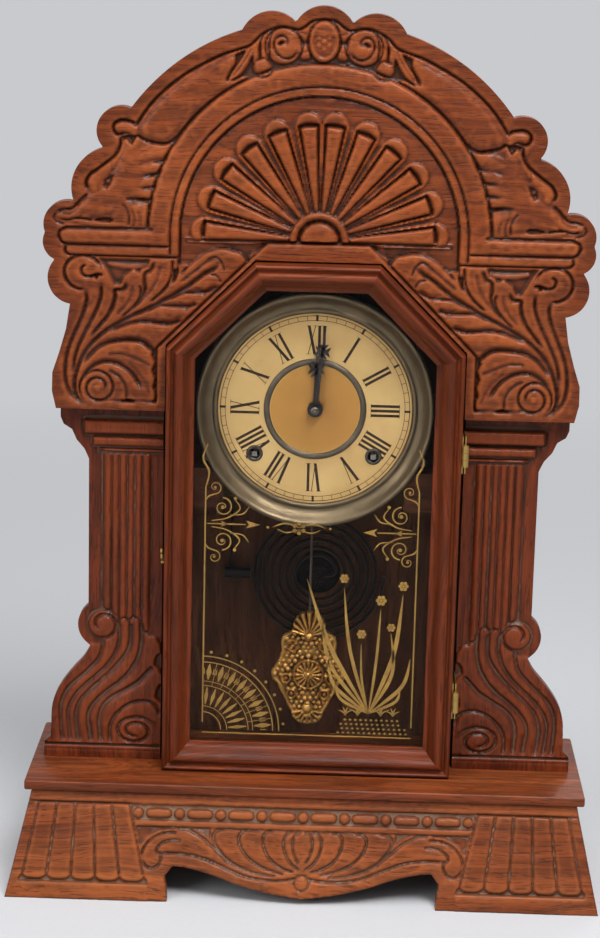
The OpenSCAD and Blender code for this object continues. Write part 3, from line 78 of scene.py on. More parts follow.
# Planes and heights that the model gives
CREST_FRONT = face_y("crest_panel")
CREST_BACK = face_y("crest_panel", 1)
CREST_LOW = low_z("crest_panel")
BOARD_FRONT = CREST_BACK
BOARD_BACK = face_y("pilaster_right", 1)
LEDGE_TOP = high_z("ledge")
BASE_TOP = high_z("base_front")
BASE_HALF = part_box("base_front")[1][0] / MM
BASE_FRONT = face_y("base_front")
DOOR_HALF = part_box("door_stile_right")[1][0] / MM
DOOR_FRONT = face_y("door_stile_right")
DOOR_LOW = low_z("door_rail_bottom")
DOOR_SHOULDER = high_z("door_stile_right")
DOOR_TOP = high_z("door_rail_top")
GLASS_BACK = face_y("door_glass", 1)
PAPER_FRONT = face_y("dial_paper")
DIAL = ((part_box("dial_paper")[0][2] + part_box("dial_paper")[1][2]) / 2) / MM


# Settings


def colour_setting(name, description, default):
    return FloatVectorProperty(name=name, description=description, subtype="COLOR", size=3,
                               min=0, max=1, default=default)


class ClockWoodSettings(bpy.types.PropertyGroup):
    """Colours and finish of the woods."""
    stain: colour_setting("Stain", "Main colour of the stained oak", (0.152, 0.0275, 0.0068))
    bright: colour_setting("Bright wood", "Colour of the lighter grain and the rubbed edges",
                           (0.320, 0.0770, 0.0170))
    dark: colour_setting("Dark grain", "Colour of the pores and dark grain", (0.028, 0.0062, 0.0028))
    # One colour for the pores of the grain and for the painted shade in the carved hollows
    pore_and_hollow_shade: colour_setting("Glaze", "Colour of the pores and of the painted shade in the recesses", (0.0170, 0.0058, 0.0030))
    door: colour_setting("Door stain", "Main colour of the door", (0.112, 0.0165, 0.0038))
    door_bright: colour_setting("Door bright wood", "Lighter grain of the door", (0.225, 0.045, 0.0095))
    gloss: FloatProperty(
        name="Roughness", description="Roughness of the varnish", subtype="FACTOR", min=0, max=1,
        default=0.40)
    carving_step: FloatProperty(
        name="Carving step", description="Distance between the points of the carved faces in mm",
        min=0.5, max=3, default=0.85)


class ClockDialSettings(bpy.types.PropertyGroup):
    """Colours and sizes of the dial, the metals and the glass."""
    paper: colour_setting("Paper", "Colour of the dial paper", (0.59, 0.385, 0.150))
    paper_centre: colour_setting("Paper centre", "Colour of the paper inside the metal ring",
                                 (0.42, 0.200, 0.036))
    ink: colour_setting("Ink", "Colour of the printed numerals", (0.018, 0.009, 0.006))
    rim: colour_setting("Rim metal", "Colour of the worn rim of the dial", (0.190, 0.138, 0.084))
    brass: colour_setting("Brass", "Colour of the aged brass", (0.38, 0.21, 0.060))
    gilt: colour_setting("Gilt", "Colour of the ornament on the glass", (0.43, 0.235, 0.044))
    numeral_foot: FloatProperty(
        name="Numeral foot", description="Distance of the numerals from the middle",
        unit="LENGTH", default=0.0355)
    numeral_height: FloatProperty(
        name="Numeral height", description="Height of the numerals", unit="LENGTH", default=0.0185)


class ClockStageSettings(bpy.types.PropertyGroup):
    """Camera, lamps and floor."""
    lens: FloatProperty(
        name="Lens", description="Focal length of the camera", min=10, max=300, default=92.84)
    key_power: FloatProperty(
        name="Key light", description="Power of the large lamp in watts", min=0, default=30.0)
    fill_power: FloatProperty(
        name="Fill light", description="Power of the fill lamp in watts", min=0, default=12.0)
    sky: FloatProperty(
        name="Sky", description="Strength of the light from all round", min=0, default=0.26)
    floor_size: FloatProperty(
        name="Floor size", description="Side of the floor", unit="LENGTH", min=1, default=8.0)
    backdrop: colour_setting("Backdrop", "Colour of the floor and the background", (0.58, 0.59, 0.61))


# Shader building


class Graph:
    """Adds nodes to a node tree and joins them."""

    def __init__(self, tree):
        self.tree = tree
        self.tree.nodes.clear()

    def add(self, kind, *sources, **settings):
        """A node whose inputs, in order, take the given sockets or values; None skips one."""
        node = self.tree.nodes.new(kind)
        inputs = settings.pop("inputs", {})
        for key, value in settings.items():
            setattr(node, key, value)
        for i, source in enumerate(sources):
            self.feed(node.inputs[i], source)
        for key, source in inputs.items():
            self.feed(node.inputs[key], source)
        return node

    def feed(self, socket, source):
        if source is None:
            return
        if isinstance(source, bpy.types.NodeSocket):
            self.tree.links.new(source, socket)
        elif isinstance(source, bpy.types.Node):
            self.tree.links.new(source.outputs[0], socket)
        else:
            socket.default_value = source

    def maths(self, operation, *sources, clamp=False):
        return self.add("ShaderNodeMath", *sources, operation=operation, use_clamp=clamp).outputs[0]

    def times(self, a, b, clamp=False):
        return self.maths("MULTIPLY", a, b, clamp=clamp)

    def place(self):
        """Object coordinates in metres."""
        return self.add("ShaderNodeTexCoord").outputs["Object"]

    def length(self, vector):
        return self.add("ShaderNodeVectorMath", vector, operation="LENGTH").outputs["Value"]

    def from_axis(self, vector, z):
        """Distance from the line along Y at height z."""
        offset = self.add("ShaderNodeVectorMath", vector, (0.0, 0.0, z), operation="SUBTRACT").outputs[0]
        return self.length(self.scaled(offset, 1.0, 0.0, 1.0))

    def face(self, label):
        """A value that a carved face carries at its points."""
        return self.add("ShaderNodeAttribute", attribute_name=label).outputs["Fac"]

    def noise(self, vector, scale, detail=4.0, rough=0.5, distortion=0.0):
        return self.add("ShaderNodeTexNoise", inputs={
            "Vector": vector, "Scale": scale, "Detail": detail, "Roughness": rough,
            "Distortion": distortion}).outputs["Fac"]

    def scaled(self, vector, x, y, z):
        return self.add("ShaderNodeVectorMath", vector, (x, y, z), operation="MULTIPLY").outputs[0]

    def ramp(self, factor, low, high, out_low=0.0, out_high=1.0):
        return self.add("ShaderNodeMapRange", factor, low, high, out_low, out_high).outputs[0]

    def mix(self, factor, a, b):
        node = self.add("ShaderNodeMix", data_type="RGBA")
        self.feed(node.inputs["Factor"], factor)
        for i, colour in ((6, a), (7, b)):
            self.feed(node.inputs[i], colour if isinstance(colour, bpy.types.NodeSocket) else rgba(colour))
        return node.outputs[2]

    def bump(self, surface, strength, distance, height):
        """Fine relief of a surface; distance is in metres."""
        self.feed(surface.inputs["Normal"], self.add("ShaderNodeBump", inputs={
            "Strength": strength, "Distance": distance, "Height": height}))


def rgba(colour):
    return (colour[0], colour[1], colour[2], 1.0)


def tinted(colour, *factors):
    """A colour multiplied by one factor, or each channel by its own."""
    return [c * k for c, k in zip(colour, factors * (3 // len(factors)))]


def new_group(name, inputs, outputs):
    """An empty shader group with (name, kind, default) inputs and (name, kind) outputs."""
    group = bpy.data.node_groups.new(name, "ShaderNodeTree")
    for label, kind, value in inputs:
        socket = group.interface.new_socket(label, in_out="INPUT", socket_type="NodeSocket" + kind)
        socket.default_value = value
    for label, kind in outputs:
        group.interface.new_socket(label, in_out="OUTPUT", socket_type="NodeSocket" + kind)
    graph = Graph(group)
    return group, graph, graph.add("NodeGroupInput"), graph.add("NodeGroupOutput")


def oak_grain_group():
    """Grain that runs along the vector's X: broad figure, growth lines and dark pores."""
    if "Oak grain" in bpy.data.node_groups:
        return bpy.data.node_groups["Oak grain"]
    group, g, source, sink = new_group(
        "Oak grain", [("Vector", "Vector", (0, 0, 0)), ("Size", "Float", 1.0)],
        [("Figure", "Float"), ("Lines", "Float"), ("Pores", "Float")])
    vector = g.add("ShaderNodeVectorMath", source.outputs["Vector"], None, None, source.outputs["Size"],
                   operation="SCALE").outputs[0]
    figure = g.noise(g.scaled(vector, 3.0, 26.0, 26.0), 1.0, 3.0, 0.55, 0.4)
    bend = g.noise(g.scaled(vector, 5.0, 14.0, 14.0), 1.0, 2.0, 0.5)
    shift = g.add("ShaderNodeCombineXYZ", 0.0, g.times(bend, 9.0), g.times(bend, 9.0)).outputs[0]
    lifted = g.add("ShaderNodeVectorMath", g.scaled(vector, 6.0, 210.0, 210.0), shift,
                   operation="ADD").outputs[0]
    lines = g.noise(lifted, 1.0, 4.0, 0.6)
    pores = g.noise(g.scaled(lifted, 9.0, 4.6, 4.6), 1.0, 2.0, 0.5)
    g.feed(sink.inputs["Figure"], g.ramp(figure, 0.32, 0.68))
    g.feed(sink.inputs["Lines"], g.ramp(lines, 0.40, 0.60))
    g.feed(sink.inputs["Pores"], g.ramp(pores, 0.54, 0.66))
    return group


def dust_group():
    """Patches of settled dust and hand wear."""
    if "Dust and wear" in bpy.data.node_groups:
        return bpy.data.node_groups["Dust and wear"]
    group, g, source, sink = new_group(
        "Dust and wear", [("Vector", "Vector", (0, 0, 0)), ("Amount", "Float", 0.5)],
        [("Dust", "Float"), ("Wear", "Float")])
    vector = source.outputs["Vector"]
    patches = g.noise(vector, 38.0, 5.0, 0.65)
    fine = g.noise(vector, 900.0, 2.0, 0.6)
    both = g.times(g.ramp(patches, 0.45, 0.75), g.ramp(fine, 0.35, 0.7))
    g.feed(sink.inputs["Dust"], g.times(both, source.outputs["Amount"], clamp=True))
    g.feed(sink.inputs["Wear"], g.ramp(g.noise(vector, 14.0, 4.0, 0.6), 0.35, 0.7))
    return group


def shader(name):
    """A new material with a Principled shader, as (material, graph, shader node)."""
    material = bpy.data.materials.new(name)
    material.use_nodes = True
    graph = Graph(material.node_tree)
    surface = graph.add("ShaderNodeBsdfPrincipled")
    graph.add("ShaderNodeOutputMaterial", surface.outputs[0])
    return material, graph, surface


def grain_vector(g, angle, deep):
    """Object coordinates turned by angle in the XZ plane, or to run along Y where the wood is deep."""
    turn = (0.0, 0.0, radians(90)) if deep else (0.0, radians(angle), 0.0)
    return g.add("ShaderNodeMapping", g.place(), (0.37, 0.11, 0.05), turn).outputs[0]


MATERIALS = {}


def made_once(maker):
    """Lets a maker build each named material once and hand it out again after that."""
    def give(name, *sources, **settings):
        if name not in MATERIALS:
            MATERIALS[name] = maker(name, *sources, **settings)
        return MATERIALS[name]
    return give


# How strongly each mark of the wood shows
FIGURE_SHARE = 0.60
LINE_SHARE = 0.62
PORE_SHARE = 0.62
WEAR_SHARE = 0.18
DUST_SHARE = 0.16
OUTWARD_DARKENING_SHARE = 0.55
RUBBED_EDGE_SHARE = 0.62
# Share of the painted shade in the carved hollows
PAINTED_HOLLOW_SHADE_SHARE = 0.88
DUST_COLOUR = (0.22, 0.13, 0.085)
PRESSED_HOLLOW = (0.035, 0.016, 0.006)


@made_once
def oak(name, angle=0.0, stain=None, bright=None, carved=0.0, size=1.0, dusty=0.35, deep=False,
        rough=None, coat=0.13, aged=None, contrast=1.0, settled=None):
    """Stained and varnished oak. carved is how strongly the carved face's own marks show: its rubbed edges,
    and the painted shade in its hollows.

    A height in aged makes the colour darken outward from a middle at that height, and settled is the colour
    of the dust and wax in the middle of the grooves.
    """
    wood = bpy.context.scene.clock_wood
    stain = tuple(stain or wood.stain)
    bright = tuple(bright or wood.bright)
    material, g, surface = shader(name)
    vector = grain_vector(g, angle, deep)
    grain = g.add("ShaderNodeGroup", node_tree=oak_grain_group(),
                  inputs={"Vector": vector, "Size": size}).outputs
    marks = g.add("ShaderNodeGroup", node_tree=dust_group(),
                  inputs={"Vector": vector, "Amount": dusty}).outputs
    colour = g.mix(g.times(grain["Figure"], FIGURE_SHARE), stain, bright)
    colour = g.mix(g.times(grain["Lines"], LINE_SHARE * contrast), colour, wood.dark)
    colour = g.mix(g.times(grain["Pores"], PORE_SHARE * contrast), colour, wood.pore_and_hollow_shade)
    colour = g.mix(g.times(marks["Wear"], WEAR_SHARE), colour, bright)
    # The colour darkens outward from a middle at the height given in aged
    if aged is not None:
        uneven = g.ramp(g.noise(vector, 9.0, 3.0, 0.6), 0.3, 0.7, -0.03, 0.03)
        darker_out = g.ramp(g.maths("ADD", g.from_axis(g.place(), aged), uneven), 0.07, 0.19)
        colour = g.mix(g.times(darker_out, OUTWARD_DARKENING_SHARE), colour, tinted(stain, 0.42))
    # Carved faces: lighter rubbed edges, and painted shade mixed into the hollows
    if carved:
        hollow = g.face("hollow")
        worn = g.times(g.face("edge"), g.maths("ADD", g.times(marks["Wear"], 0.6), 0.5))
        colour = g.mix(g.times(worn, RUBBED_EDGE_SHARE * carved, clamp=True), colour, bright)
        colour = g.mix(g.times(hollow, PAINTED_HOLLOW_SHADE_SHARE * carved, clamp=True), colour, wood.pore_and_hollow_shade)
        if settled is not None:
            patchy = g.ramp(g.noise(vector, 32.0, 2.0, 0.5), 0.36, 0.64, 0.20, 0.85)
            colour = g.mix(g.times(g.ramp(hollow, 0.6, 1.0), patchy), colour, settled)
    colour = g.mix(g.times(marks["Dust"], DUST_SHARE), colour, DUST_COLOUR)
    g.feed(surface.inputs["Base Color"], colour)
    base = wood.gloss if rough is None else rough
    roughness = g.ramp(marks["Wear"], 0.0, 1.0, base, base + 0.16)
    g.feed(surface.inputs["Roughness"],
           g.maths("ADD", roughness, g.times(marks["Dust"], 0.25), clamp=True))
    g.bump(surface, 0.5, 0.00035, g.maths("ADD", g.times(grain["Pores"], -0.8),
                                          g.times(grain["Lines"], -0.35)))
    surface.inputs["Specular IOR Level"].default_value = 0.12
    surface.inputs["Coat Weight"].default_value = coat
    surface.inputs["Coat Roughness"].default_value = 0.18
    return material


@made_once
def metal(name, colour, rough=0.35, tarnish=(0.05, 0.04, 0.03), amount=0.5, scale=60.0, metallic=1.0,
          pressed=0.0):
    """Aged metal with darker spots and fine scratches; pressed darkens the hollows of a relief."""
    material, g, surface = shader(name)
    vector = g.place()
    spots = g.ramp(g.noise(vector, scale, 6.0, 0.65), 0.35, 0.75)
    fine = g.noise(g.scaled(vector, 400.0, 400.0, 2600.0), 1.0, 2.0, 0.6)
    colour = g.mix(g.times(spots, amount), colour, tarnish)
    if pressed:
        colour = g.mix(g.times(g.face("hollow"), pressed, clamp=True), colour, PRESSED_HOLLOW)
    g.feed(surface.inputs["Base Color"], colour)
    g.feed(surface.inputs["Roughness"], g.maths("ADD", g.ramp(spots, 0.0, 1.0, rough, rough + 0.25),
                                                g.times(fine, 0.12), clamp=True))
    surface.inputs["Metallic"].default_value = metallic
    g.bump(surface, 0.25, 0.0001, fine)
    return material


@made_once
def aged_paper(name, paper, centre):
    """Yellowed dial paper, browner inside the metal ring and toward the middle."""
    material, g, surface = shader(name)
    vector = g.place()
    radius = g.from_axis(vector, DIAL * MM)
    clouds = g.noise(vector, 30.0, 5.0, 0.6)
    specks = g.ramp(g.noise(vector, 420.0, 3.0, 0.7), 0.66, 0.78)
    stain = g.ramp(radius, 0.030, 0.004)
    inner = g.mix(g.times(stain, g.ramp(clouds, 0.3, 0.7)), centre, (0.25, 0.092, 0.016))
    outer = g.mix(g.ramp(clouds, 0.35, 0.75), paper, (0.46, 0.270, 0.090))
    outer = g.mix(g.times(g.ramp(radius, 0.052, 0.062), 0.45), outer, (0.38, 0.205, 0.062))
    colour = g.mix(g.ramp(radius, 0.028, 0.030), inner, outer)
    g.feed(surface.inputs["Base Color"], g.mix(g.times(specks, 0.5), colour, (0.20, 0.09, 0.03)))
    surface.inputs["Roughness"].default_value = 0.72
    g.bump(surface, 0.15, 0.0001, g.noise(vector, 1400.0, 2.0, 0.5))
    return material


@made_once
def clear_glass(name):
    """Clear pane with a little uneven dust; its low index keeps the studio out of it."""
    material, g, surface = shader(name)
    vector = g.place()
    haze = g.ramp(g.noise(vector, 60.0, 5.0, 0.6), 0.45, 0.8)
    surface.inputs["Base Color"].default_value = (0.97, 0.98, 0.97, 1.0)
    surface.inputs["Transmission Weight"].default_value = 1.0
    surface.inputs["IOR"].default_value = 1.12
    g.feed(surface.inputs["Roughness"], g.times(haze, 0.03))
    g.bump(surface, 0.05, 0.002, g.noise(vector, 9.0, 2.0, 0.4))
    return material


@made_once
def plain(name, colour, rough=0.6, second=None, scale=80.0):
    """A dull surface with a little colour change."""
    material, g, surface = shader(name)
    clouds = g.ramp(g.noise(g.place(), scale, 5.0, 0.6), 0.3, 0.7)
    g.feed(surface.inputs["Base Color"], g.mix(clouds, colour, second or tinted(colour, 0.6)))
    g.feed(surface.inputs["Roughness"], g.ramp(clouds, 0.0, 1.0, rough, min(1.0, rough + 0.15)))
    surface.inputs["Specular IOR Level"].default_value = 0.15
    return material


def oak_boards():
    return oak("oak boards", dusty=0.9)


def pine():
    return oak("bare pine", stain=(0.38, 0.180, 0.075), bright=(0.50, 0.270, 0.125), rough=0.7,
               contrast=0.3)


def blackened_steel():
    return metal("blackened steel", (0.055, 0.050, 0.052), rough=0.32, tarnish=(0.10, 0.055, 0.03),
                 amount=0.35, scale=120.0)


# Mesh building


def put(name, vertices, faces, body, material, sharp=40.0):
    """A mesh object in millimetres that rides on a body."""
    mesh = bpy.data.meshes.new(name)
    mesh.from_pydata([tuple(c * MM for c in v) for v in vertices], [], faces)
    return finish_piece(name, mesh, body, material, sharp)


def finish_piece(name, mesh, body, material, sharp=35.0):
    """An object of the mesh that rides on a body; sharp is the angle of its hard edges, 0 for flat faces."""
    mesh.validate()
    if sharp:
        mesh.polygons.foreach_set("use_smooth", [True] * len(mesh.polygons))
        mesh.set_sharp_from_angle(angle=radians(sharp))
    piece = bpy.data.objects.new(name, mesh)
    bpy.context.scene.collection.objects.link(piece)
    piece.data.materials.append(material)
    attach(piece, body)
    return piece


def cad_finish(material, *nodes):
    """Gives carried-over nodes their material."""
    for node in nodes:
        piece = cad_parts[node]
        if not piece.material_slots:
            piece.data.materials.append(material)
        for slot in piece.material_slots:
            slot.material = material


def eased_board(name, node, ease, material, body="case"):
    """A board in a node's place with its sharp edges eased."""
    lo, hi = (Vector(c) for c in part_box(node))
    build = bmesh.new()
    bmesh.ops.create_cube(build, size=1.0)
    for v in build.verts:
        v.co = Vector([(lo[i] + hi[i]) / 2 + v.co[i] * (hi[i] - lo[i]) for i in range(3)])
    bmesh.ops.bevel(build, geom=list(build.edges), offset=ease * MM, segments=3, profile=0.6,
                    affect="EDGES")
    mesh = bpy.data.meshes.new(name)
    build.to_mesh(mesh)
    build.free()
    return finish_piece(name, mesh, body, material)


def curve_points(points, n=6):
    """A smooth line through the given points, with n steps between two; 0 keeps them as they are."""
    p = np.array(points, float)
    if not n:
        return p
    out = []
    for i in range(len(p) - 1):
        a, b, c, d = p[max(i - 1, 0)], p[i], p[i + 1], p[min(i + 2, len(p) - 1)]
        for k in range(n):
            t = k / n
            out.append((2 * b + (c - a) * t + (2 * a - 5 * b + 4 * c - d) * t * t
                        + (3 * b - a - 3 * c + d) * t ** 3) / 2)
    out.append(p[-1])
    return np.array(out)


def half_widths(widths, count):
    """Half of the widths, spread evenly over count points."""
    return np.interp(np.linspace(0, 1, count), np.linspace(0, 1, len(widths)), widths) / 2


def polar(centre, radius, turn, squeeze=1.0):
    """The point at a radius and an angle in radians from a centre."""
    return (centre[0] + radius * cos(turn), centre[1] + squeeze * radius * sin(turn))


def arc(centre, radius, start, end, n):
    """Points of an arc in degrees."""
    return [polar(centre, radius, radians(start + (end - start) * k / n)) for k in range(n + 1)]


def spiral(centre, first, last, start, turns, squeeze=1.0):
    """Points of a spiral from its first to its last radius, 20 in each turn."""
    count = int(ceil(abs(turns) * 20))
    return [polar(centre, first + (last - first) * k / count, radians(start + 360 * turns * k / count),
                  squeeze) for k in range(count + 1)]


def blur(field, reach):
    """Three passes of a moving mean over a square of 2 * reach + 1 points."""
    size = 2 * reach + 1
    for _ in range(3):
        for axis in (0, 1):
            pad = [(0, 0), (0, 0)]
            pad[axis] = (reach + 1, reach)
            total = np.cumsum(np.pad(field, pad, mode="edge"), axis=axis)
            ahead, behind = np.split(total, [size], axis)[1], np.split(total, [-size], axis)[0]
            field = (ahead - behind) / size
    return field


def step_up(value, low, high):
    t = np.clip((value - low) / (high - low), 0, 1)
    return t * t * (3 - 2 * t)


def round_edge(t):
    """Height of a quarter round, 0 at t = 0 and 1 from t = 1."""
    return np.sqrt(1 - (1 - np.clip(t, 0, 1)) ** 2)


def from_segment(a, v, X, Z):
    """How far along the segment from a by v each point lies, 0 to 1, and its offset from there."""
    t = np.clip(((X - a[0]) * v[0] + (Z - a[1]) * v[1]) / max(v @ v, 1e-9), 0, 1)
    return t, X - a[0] - t * v[0], Z - a[1] - t * v[1]


def polygon_inside(points, X, Z):
    """Distance inside a closed outline, negative outside it."""
    p = np.array(points, float)
    best = np.full(X.shape, 1e9)
    odd = np.zeros(X.shape, bool)
    for a, b in zip(p, np.roll(p, -1, axis=0)):
        v = b - a
        _, dx, dz = from_segment(a, v, X, Z)
        best = np.minimum(best, np.hypot(dx, dz))
        if a[1] != b[1]:
            crosses = (a[1] > Z) != (b[1] > Z)
            odd ^= crosses & (X < a[0] + (Z - a[1]) * v[0] / v[1])
    return np.where(odd, best, -best)


def inside_all(*fields):
    """The smallest of several distances inside."""
    return reduce(np.minimum, fields)


class Carving:
    """A carved face as heights over its ground, on a grid in X and Z, in millimetres."""

    def __init__(self, x, z, step, h=None):
        self.step, self.x, self.z = step, x, z
        self.X, self.Z = np.meshgrid(x, z)
        self.h = np.zeros_like(self.X) if h is None else h
        self.cuts = np.zeros_like(self.X)

    @classmethod
    def over(cls, x0, x1, z0, z1, step):
        """An empty face that covers the given box."""
        return cls(np.arange(x0, x1 + step, step), np.arange(z0, z1 + step, step), step)

    def far(self, centre, squeeze=1.0):
        """Distance of each point from a centre."""
        return np.hypot(self.X - centre[0], (self.Z - centre[1]) / squeeze)

    def inside(self, points):
        return polygon_inside(points, self.X, self.Z)

    def window(self, points, reach):
        """The part of the grid that lies within reach of the points."""
        lo, hi = points.min(axis=0) - reach, points.max(axis=0) + reach
        i0, i1 = np.searchsorted(self.x, [lo[0], hi[0]])
        k0, k1 = np.searchsorted(self.z, [lo[1], hi[1]])
        return slice(k0, k1), slice(i0, i1)

    def level(self, where, height):
        """Sets the height where the condition holds."""
        self.h = np.where(where, height, self.h)

    def raise_to(self, where, height):
        self.h = np.where(where, np.maximum(self.h, height), self.h)

    def uncut(self, where):
        """Takes the cuts made so far away again where the condition holds."""
        self.cuts = np.where(where, 0.0, self.cuts)

    def ridge(self, points, widths, top, n=6, round_=0.5, base=0.0):
        """A rounded leaf or reed along a smooth line."""
        q = curve_points(points, n)
        w = half_widths(widths, len(q))
        area = self.window(q, w.max() + self.step)
        X, Z = self.X[area], self.Z[area]
        share = np.full(X.shape, 9.0)
        for i in range(len(q) - 1):
            t, dx, dz = from_segment(q[i], q[i + 1] - q[i], X, Z)
            share = np.minimum(share, np.hypot(dx, dz) / (w[i] + (w[i + 1] - w[i]) * t))
        body = base + (top - base) * np.maximum(1 - share ** 2, 0) ** round_
        self.h[area] = np.where(share < 1, np.maximum(self.h[area], body), self.h[area])

    def cut(self, points, depth, left=1.2, right=1.2, n=5, ends=0.08):
        """A carver's cut along a line, which falls in from each side over its own reach.

        Left and right are as seen when the line is followed, and ends is the share of its length
        over which it fades in and out.
        """
        q = curve_points(points, n)
        area = self.window(q, max(left, right) + self.step)
        X, Z = self.X[area], self.Z[area]
        best, sign, place = np.full(X.shape, 99.0), np.zeros(X.shape), np.zeros(X.shape)
        for i in range(len(q) - 1):
            v = q[i + 1] - q[i]
            t, dx, dz = from_segment(q[i], v, X, Z)
            d = np.hypot(dx, dz)
            near = d < best
            best = np.where(near, d, best)
            sign = np.where(near, v[0] * dz - v[1] * dx, sign)
            place = np.where(near, (i + t) / (len(q) - 1), place)
        reach = np.where(sign > 0, left, right)
        fade = np.clip(np.minimum(place, 1 - place) / ends, 0, 1) if ends else 1.0
        fall = depth * np.clip(1 - best / reach, 0, 1) ** CUT_SHAPE * fade
        self.cuts[area] = np.maximum(self.cuts[area], fall)

    def cut_all(self, lines, **settings):
        for points, depth, left, right in lines:
            self.cut(points, depth, left, right, **settings)

    def crease(self, off, depth, left=1.2, right=1.2):
        """A cut where the field off is zero; right is its positive side."""
        fall = np.where(off > 0, 1 - off / right, 1 + off / left)
        self.cuts = np.maximum(self.cuts, depth * np.clip(fall, 0, 1) ** CUT_SHAPE)

    def settle(self):
        """Takes the cuts out of the face, and lets the wood swell softly between them."""
        reach = int(SWELL_REACH / self.step)
        near = blur(blur(self.cuts, reach), reach)
        self.h = np.maximum(self.h - self.cuts - SWELL_FALL * near, 0.0)
        self.cuts[:] = 0

    def plate(self, inside, top, edge=1.0):
        """A raised flat where inside is positive, with a rounded edge that wide."""
        self.raise_to(inside > 0, top * round_edge(inside / edge))

    def sink(self, inside, floor, edge=0.8):
        """A hollow down to the floor where inside is positive."""
        lowered = self.h + (floor - self.h) * step_up(inside, 0, edge)
        self.h = np.where(inside > 0, np.minimum(self.h, lowered), self.h)

    def sink_all(self, hollows):
        for points, floor, edge in hollows:
            self.sink(self.inside(points), floor, edge)

    def disc(self, centre, r, top, dome=0.5, squeeze=1.0):
        d = self.far(centre, squeeze)
        self.raise_to(d < r, top * np.maximum(1 - (d / r) ** 2, 0) ** dome)

    def ring(self, centre, r, width, top, squeeze=1.0):
        s = np.abs(self.far(centre, squeeze) - r) / (width / 2)
        self.raise_to(s < 1, top * np.sqrt(np.maximum(1 - s ** 2, 0)))


# Shape of a cut's walls, and how far and how much the wood beside it falls off, in millimetres
CUT_SHAPE = 1.7
SWELL_REACH = 2.2
SWELL_FALL = 1.7


def onto_outline(carving, inside):
    """The grid with the points beside the outline moved onto it, and each point's distance inside."""
    X, Z = carving.X.copy(), carving.Z.copy()
    d = inside(X, Z)
    probe = 0.05
    near = np.abs(d) < 0.75 * carving.step
    for _ in range(3):
        gx = (inside(X + probe, Z) - inside(X - probe, Z)) / (2 * probe)
        gz = (inside(X, Z + probe) - inside(X, Z - probe)) / (2 * probe)
        move = np.where(near, d / np.maximum(gx ** 2 + gz ** 2, 0.25), 0.0)
        X -= move * gx
        Z -= move * gz
        d = np.where(near, inside(X, Z), d)
    return X, Z, d


def carved_tones(h, step):
    """Where a face lies hollow, for painted shade on oak and tarnish on pressed brass, and where its edges
    are rubbed, each 0 to 1.
    """
    lift = h - blur(h, max(2, int(2.2 / step)))
    wide = h - blur(h, max(3, int(5.5 / step)))
    # The low ground and the hollows make the mask of painted shade in the recesses
    low = 1 - step_up(h, 0.15, 2.2)
    hollow = 0.18 * low + 0.85 * step_up(-lift, 0.08, 0.9) + 0.35 * step_up(-wide, 0.2, 1.6)
    edge = 0.9 * step_up(lift, 0.05, 0.55) + 0.5 * step_up(wide, 0.3, 1.6)
    return {"hollow": np.clip(hollow, 0, 1), "edge": np.clip(edge, 0, 1)}


def closed_loops(follow):
    """The closed loops of a table that lists what follows each point."""
    loops = []
    while follow:
        start = here = next(iter(follow))
        loop = []
        while not loop or (here != start and here in follow):
            loop.append(here)
            ahead = follow[here].pop()
            if not follow[here]:
                del follow[here]
            here = ahead
        if len(loop) > 2:
            loops.append(loop)
    return loops


def carved_board(name, carving, inside, ground_y, back_y, body, material, lean=None, floor=None):
    """A board whose front is a carving cut to an outline, with walls and a plain back.

    inside(X, Z) is the distance inside the outline. Points beside the outline move onto it.
    """
    X, Z, d = onto_outline(carving, inside)
    keep = d > -0.3 * carving.step
    cell = keep[:-1, :-1] & keep[1:, :-1] & keep[:-1, 1:] & keep[1:, 1:]
    index = np.arange(X.size).reshape(X.shape)
    quads = np.stack([index[:-1, :-1][cell], index[:-1, 1:][cell], index[1:, 1:][cell],
                      index[1:, :-1][cell]], axis=1)
    used, quads = np.unique(quads, return_inverse=True)
    quads = quads.reshape(-1, 4)
    front = np.stack([X.ravel()[used], ground_y - carving.h.ravel()[used], Z.ravel()[used]], axis=1)
    edges = np.concatenate([quads[:, [k, (k + 1) % 4]] for k in range(4)])
    key = np.sort(edges, axis=1)
    _, first, count = np.unique(key[:, 0] * (len(used) + 1) + key[:, 1], return_index=True,
                                return_counts=True)
    rim = edges[first[count == 1]]
    rim_ids = np.unique(rim)
    back_id = {int(v): len(used) + k for k, v in enumerate(rim_ids)}
    back = front[rim_ids].copy()
    back[:, 1] = back_y
    vertices = np.concatenate([front, back])
    if lean is not None:
        vertices = lean(vertices)
    if floor is not None:
        vertices[:, 2] = np.clip(vertices[:, 2], floor[0], floor[1])
    faces = [tuple(q) for q in quads.tolist()]
    follow = {}
    for a, b in rim.tolist():
        faces.append((b, a, back_id[a], back_id[b]))
        follow.setdefault(back_id[b], []).append(back_id[a])
    faces += [tuple(loop[::-1]) for loop in closed_loops(follow)]
    mesh = bpy.data.meshes.new(name)
    mesh.from_pydata((vertices * MM).tolist(), [], faces)
    for label, field in carved_tones(carving.h, carving.step).items():
        shown = field.ravel()[used]
        layer = mesh.attributes.new(label, "FLOAT", "POINT")
        layer.data.foreach_set("value", np.concatenate([shown, shown[rim_ids] * 0.4]).astype(np.float32))
    return finish_piece(name, mesh, body, material, sharp=60.0)


def face_step(step):
    return step * 1.0


def carved(maker, step):
    """A carving worked out at half the step, then averaged, so that slanting edges stay even."""
    fine = maker(step / 2)
    h = fine.h
    for axis in (0, 1):
        padded = np.pad(h, [(1, 1) if i == axis else (0, 0) for i in (0, 1)], mode="edge")
        ahead = np.take(padded, range(2, padded.shape[axis]), axis)
        behind = np.take(padded, range(0, padded.shape[axis] - 2), axis)
        h = 0.5 * h + 0.25 * (ahead + behind)
    return Carving(fine.x[::2], fine.z[::2], step, h[::2, ::2])


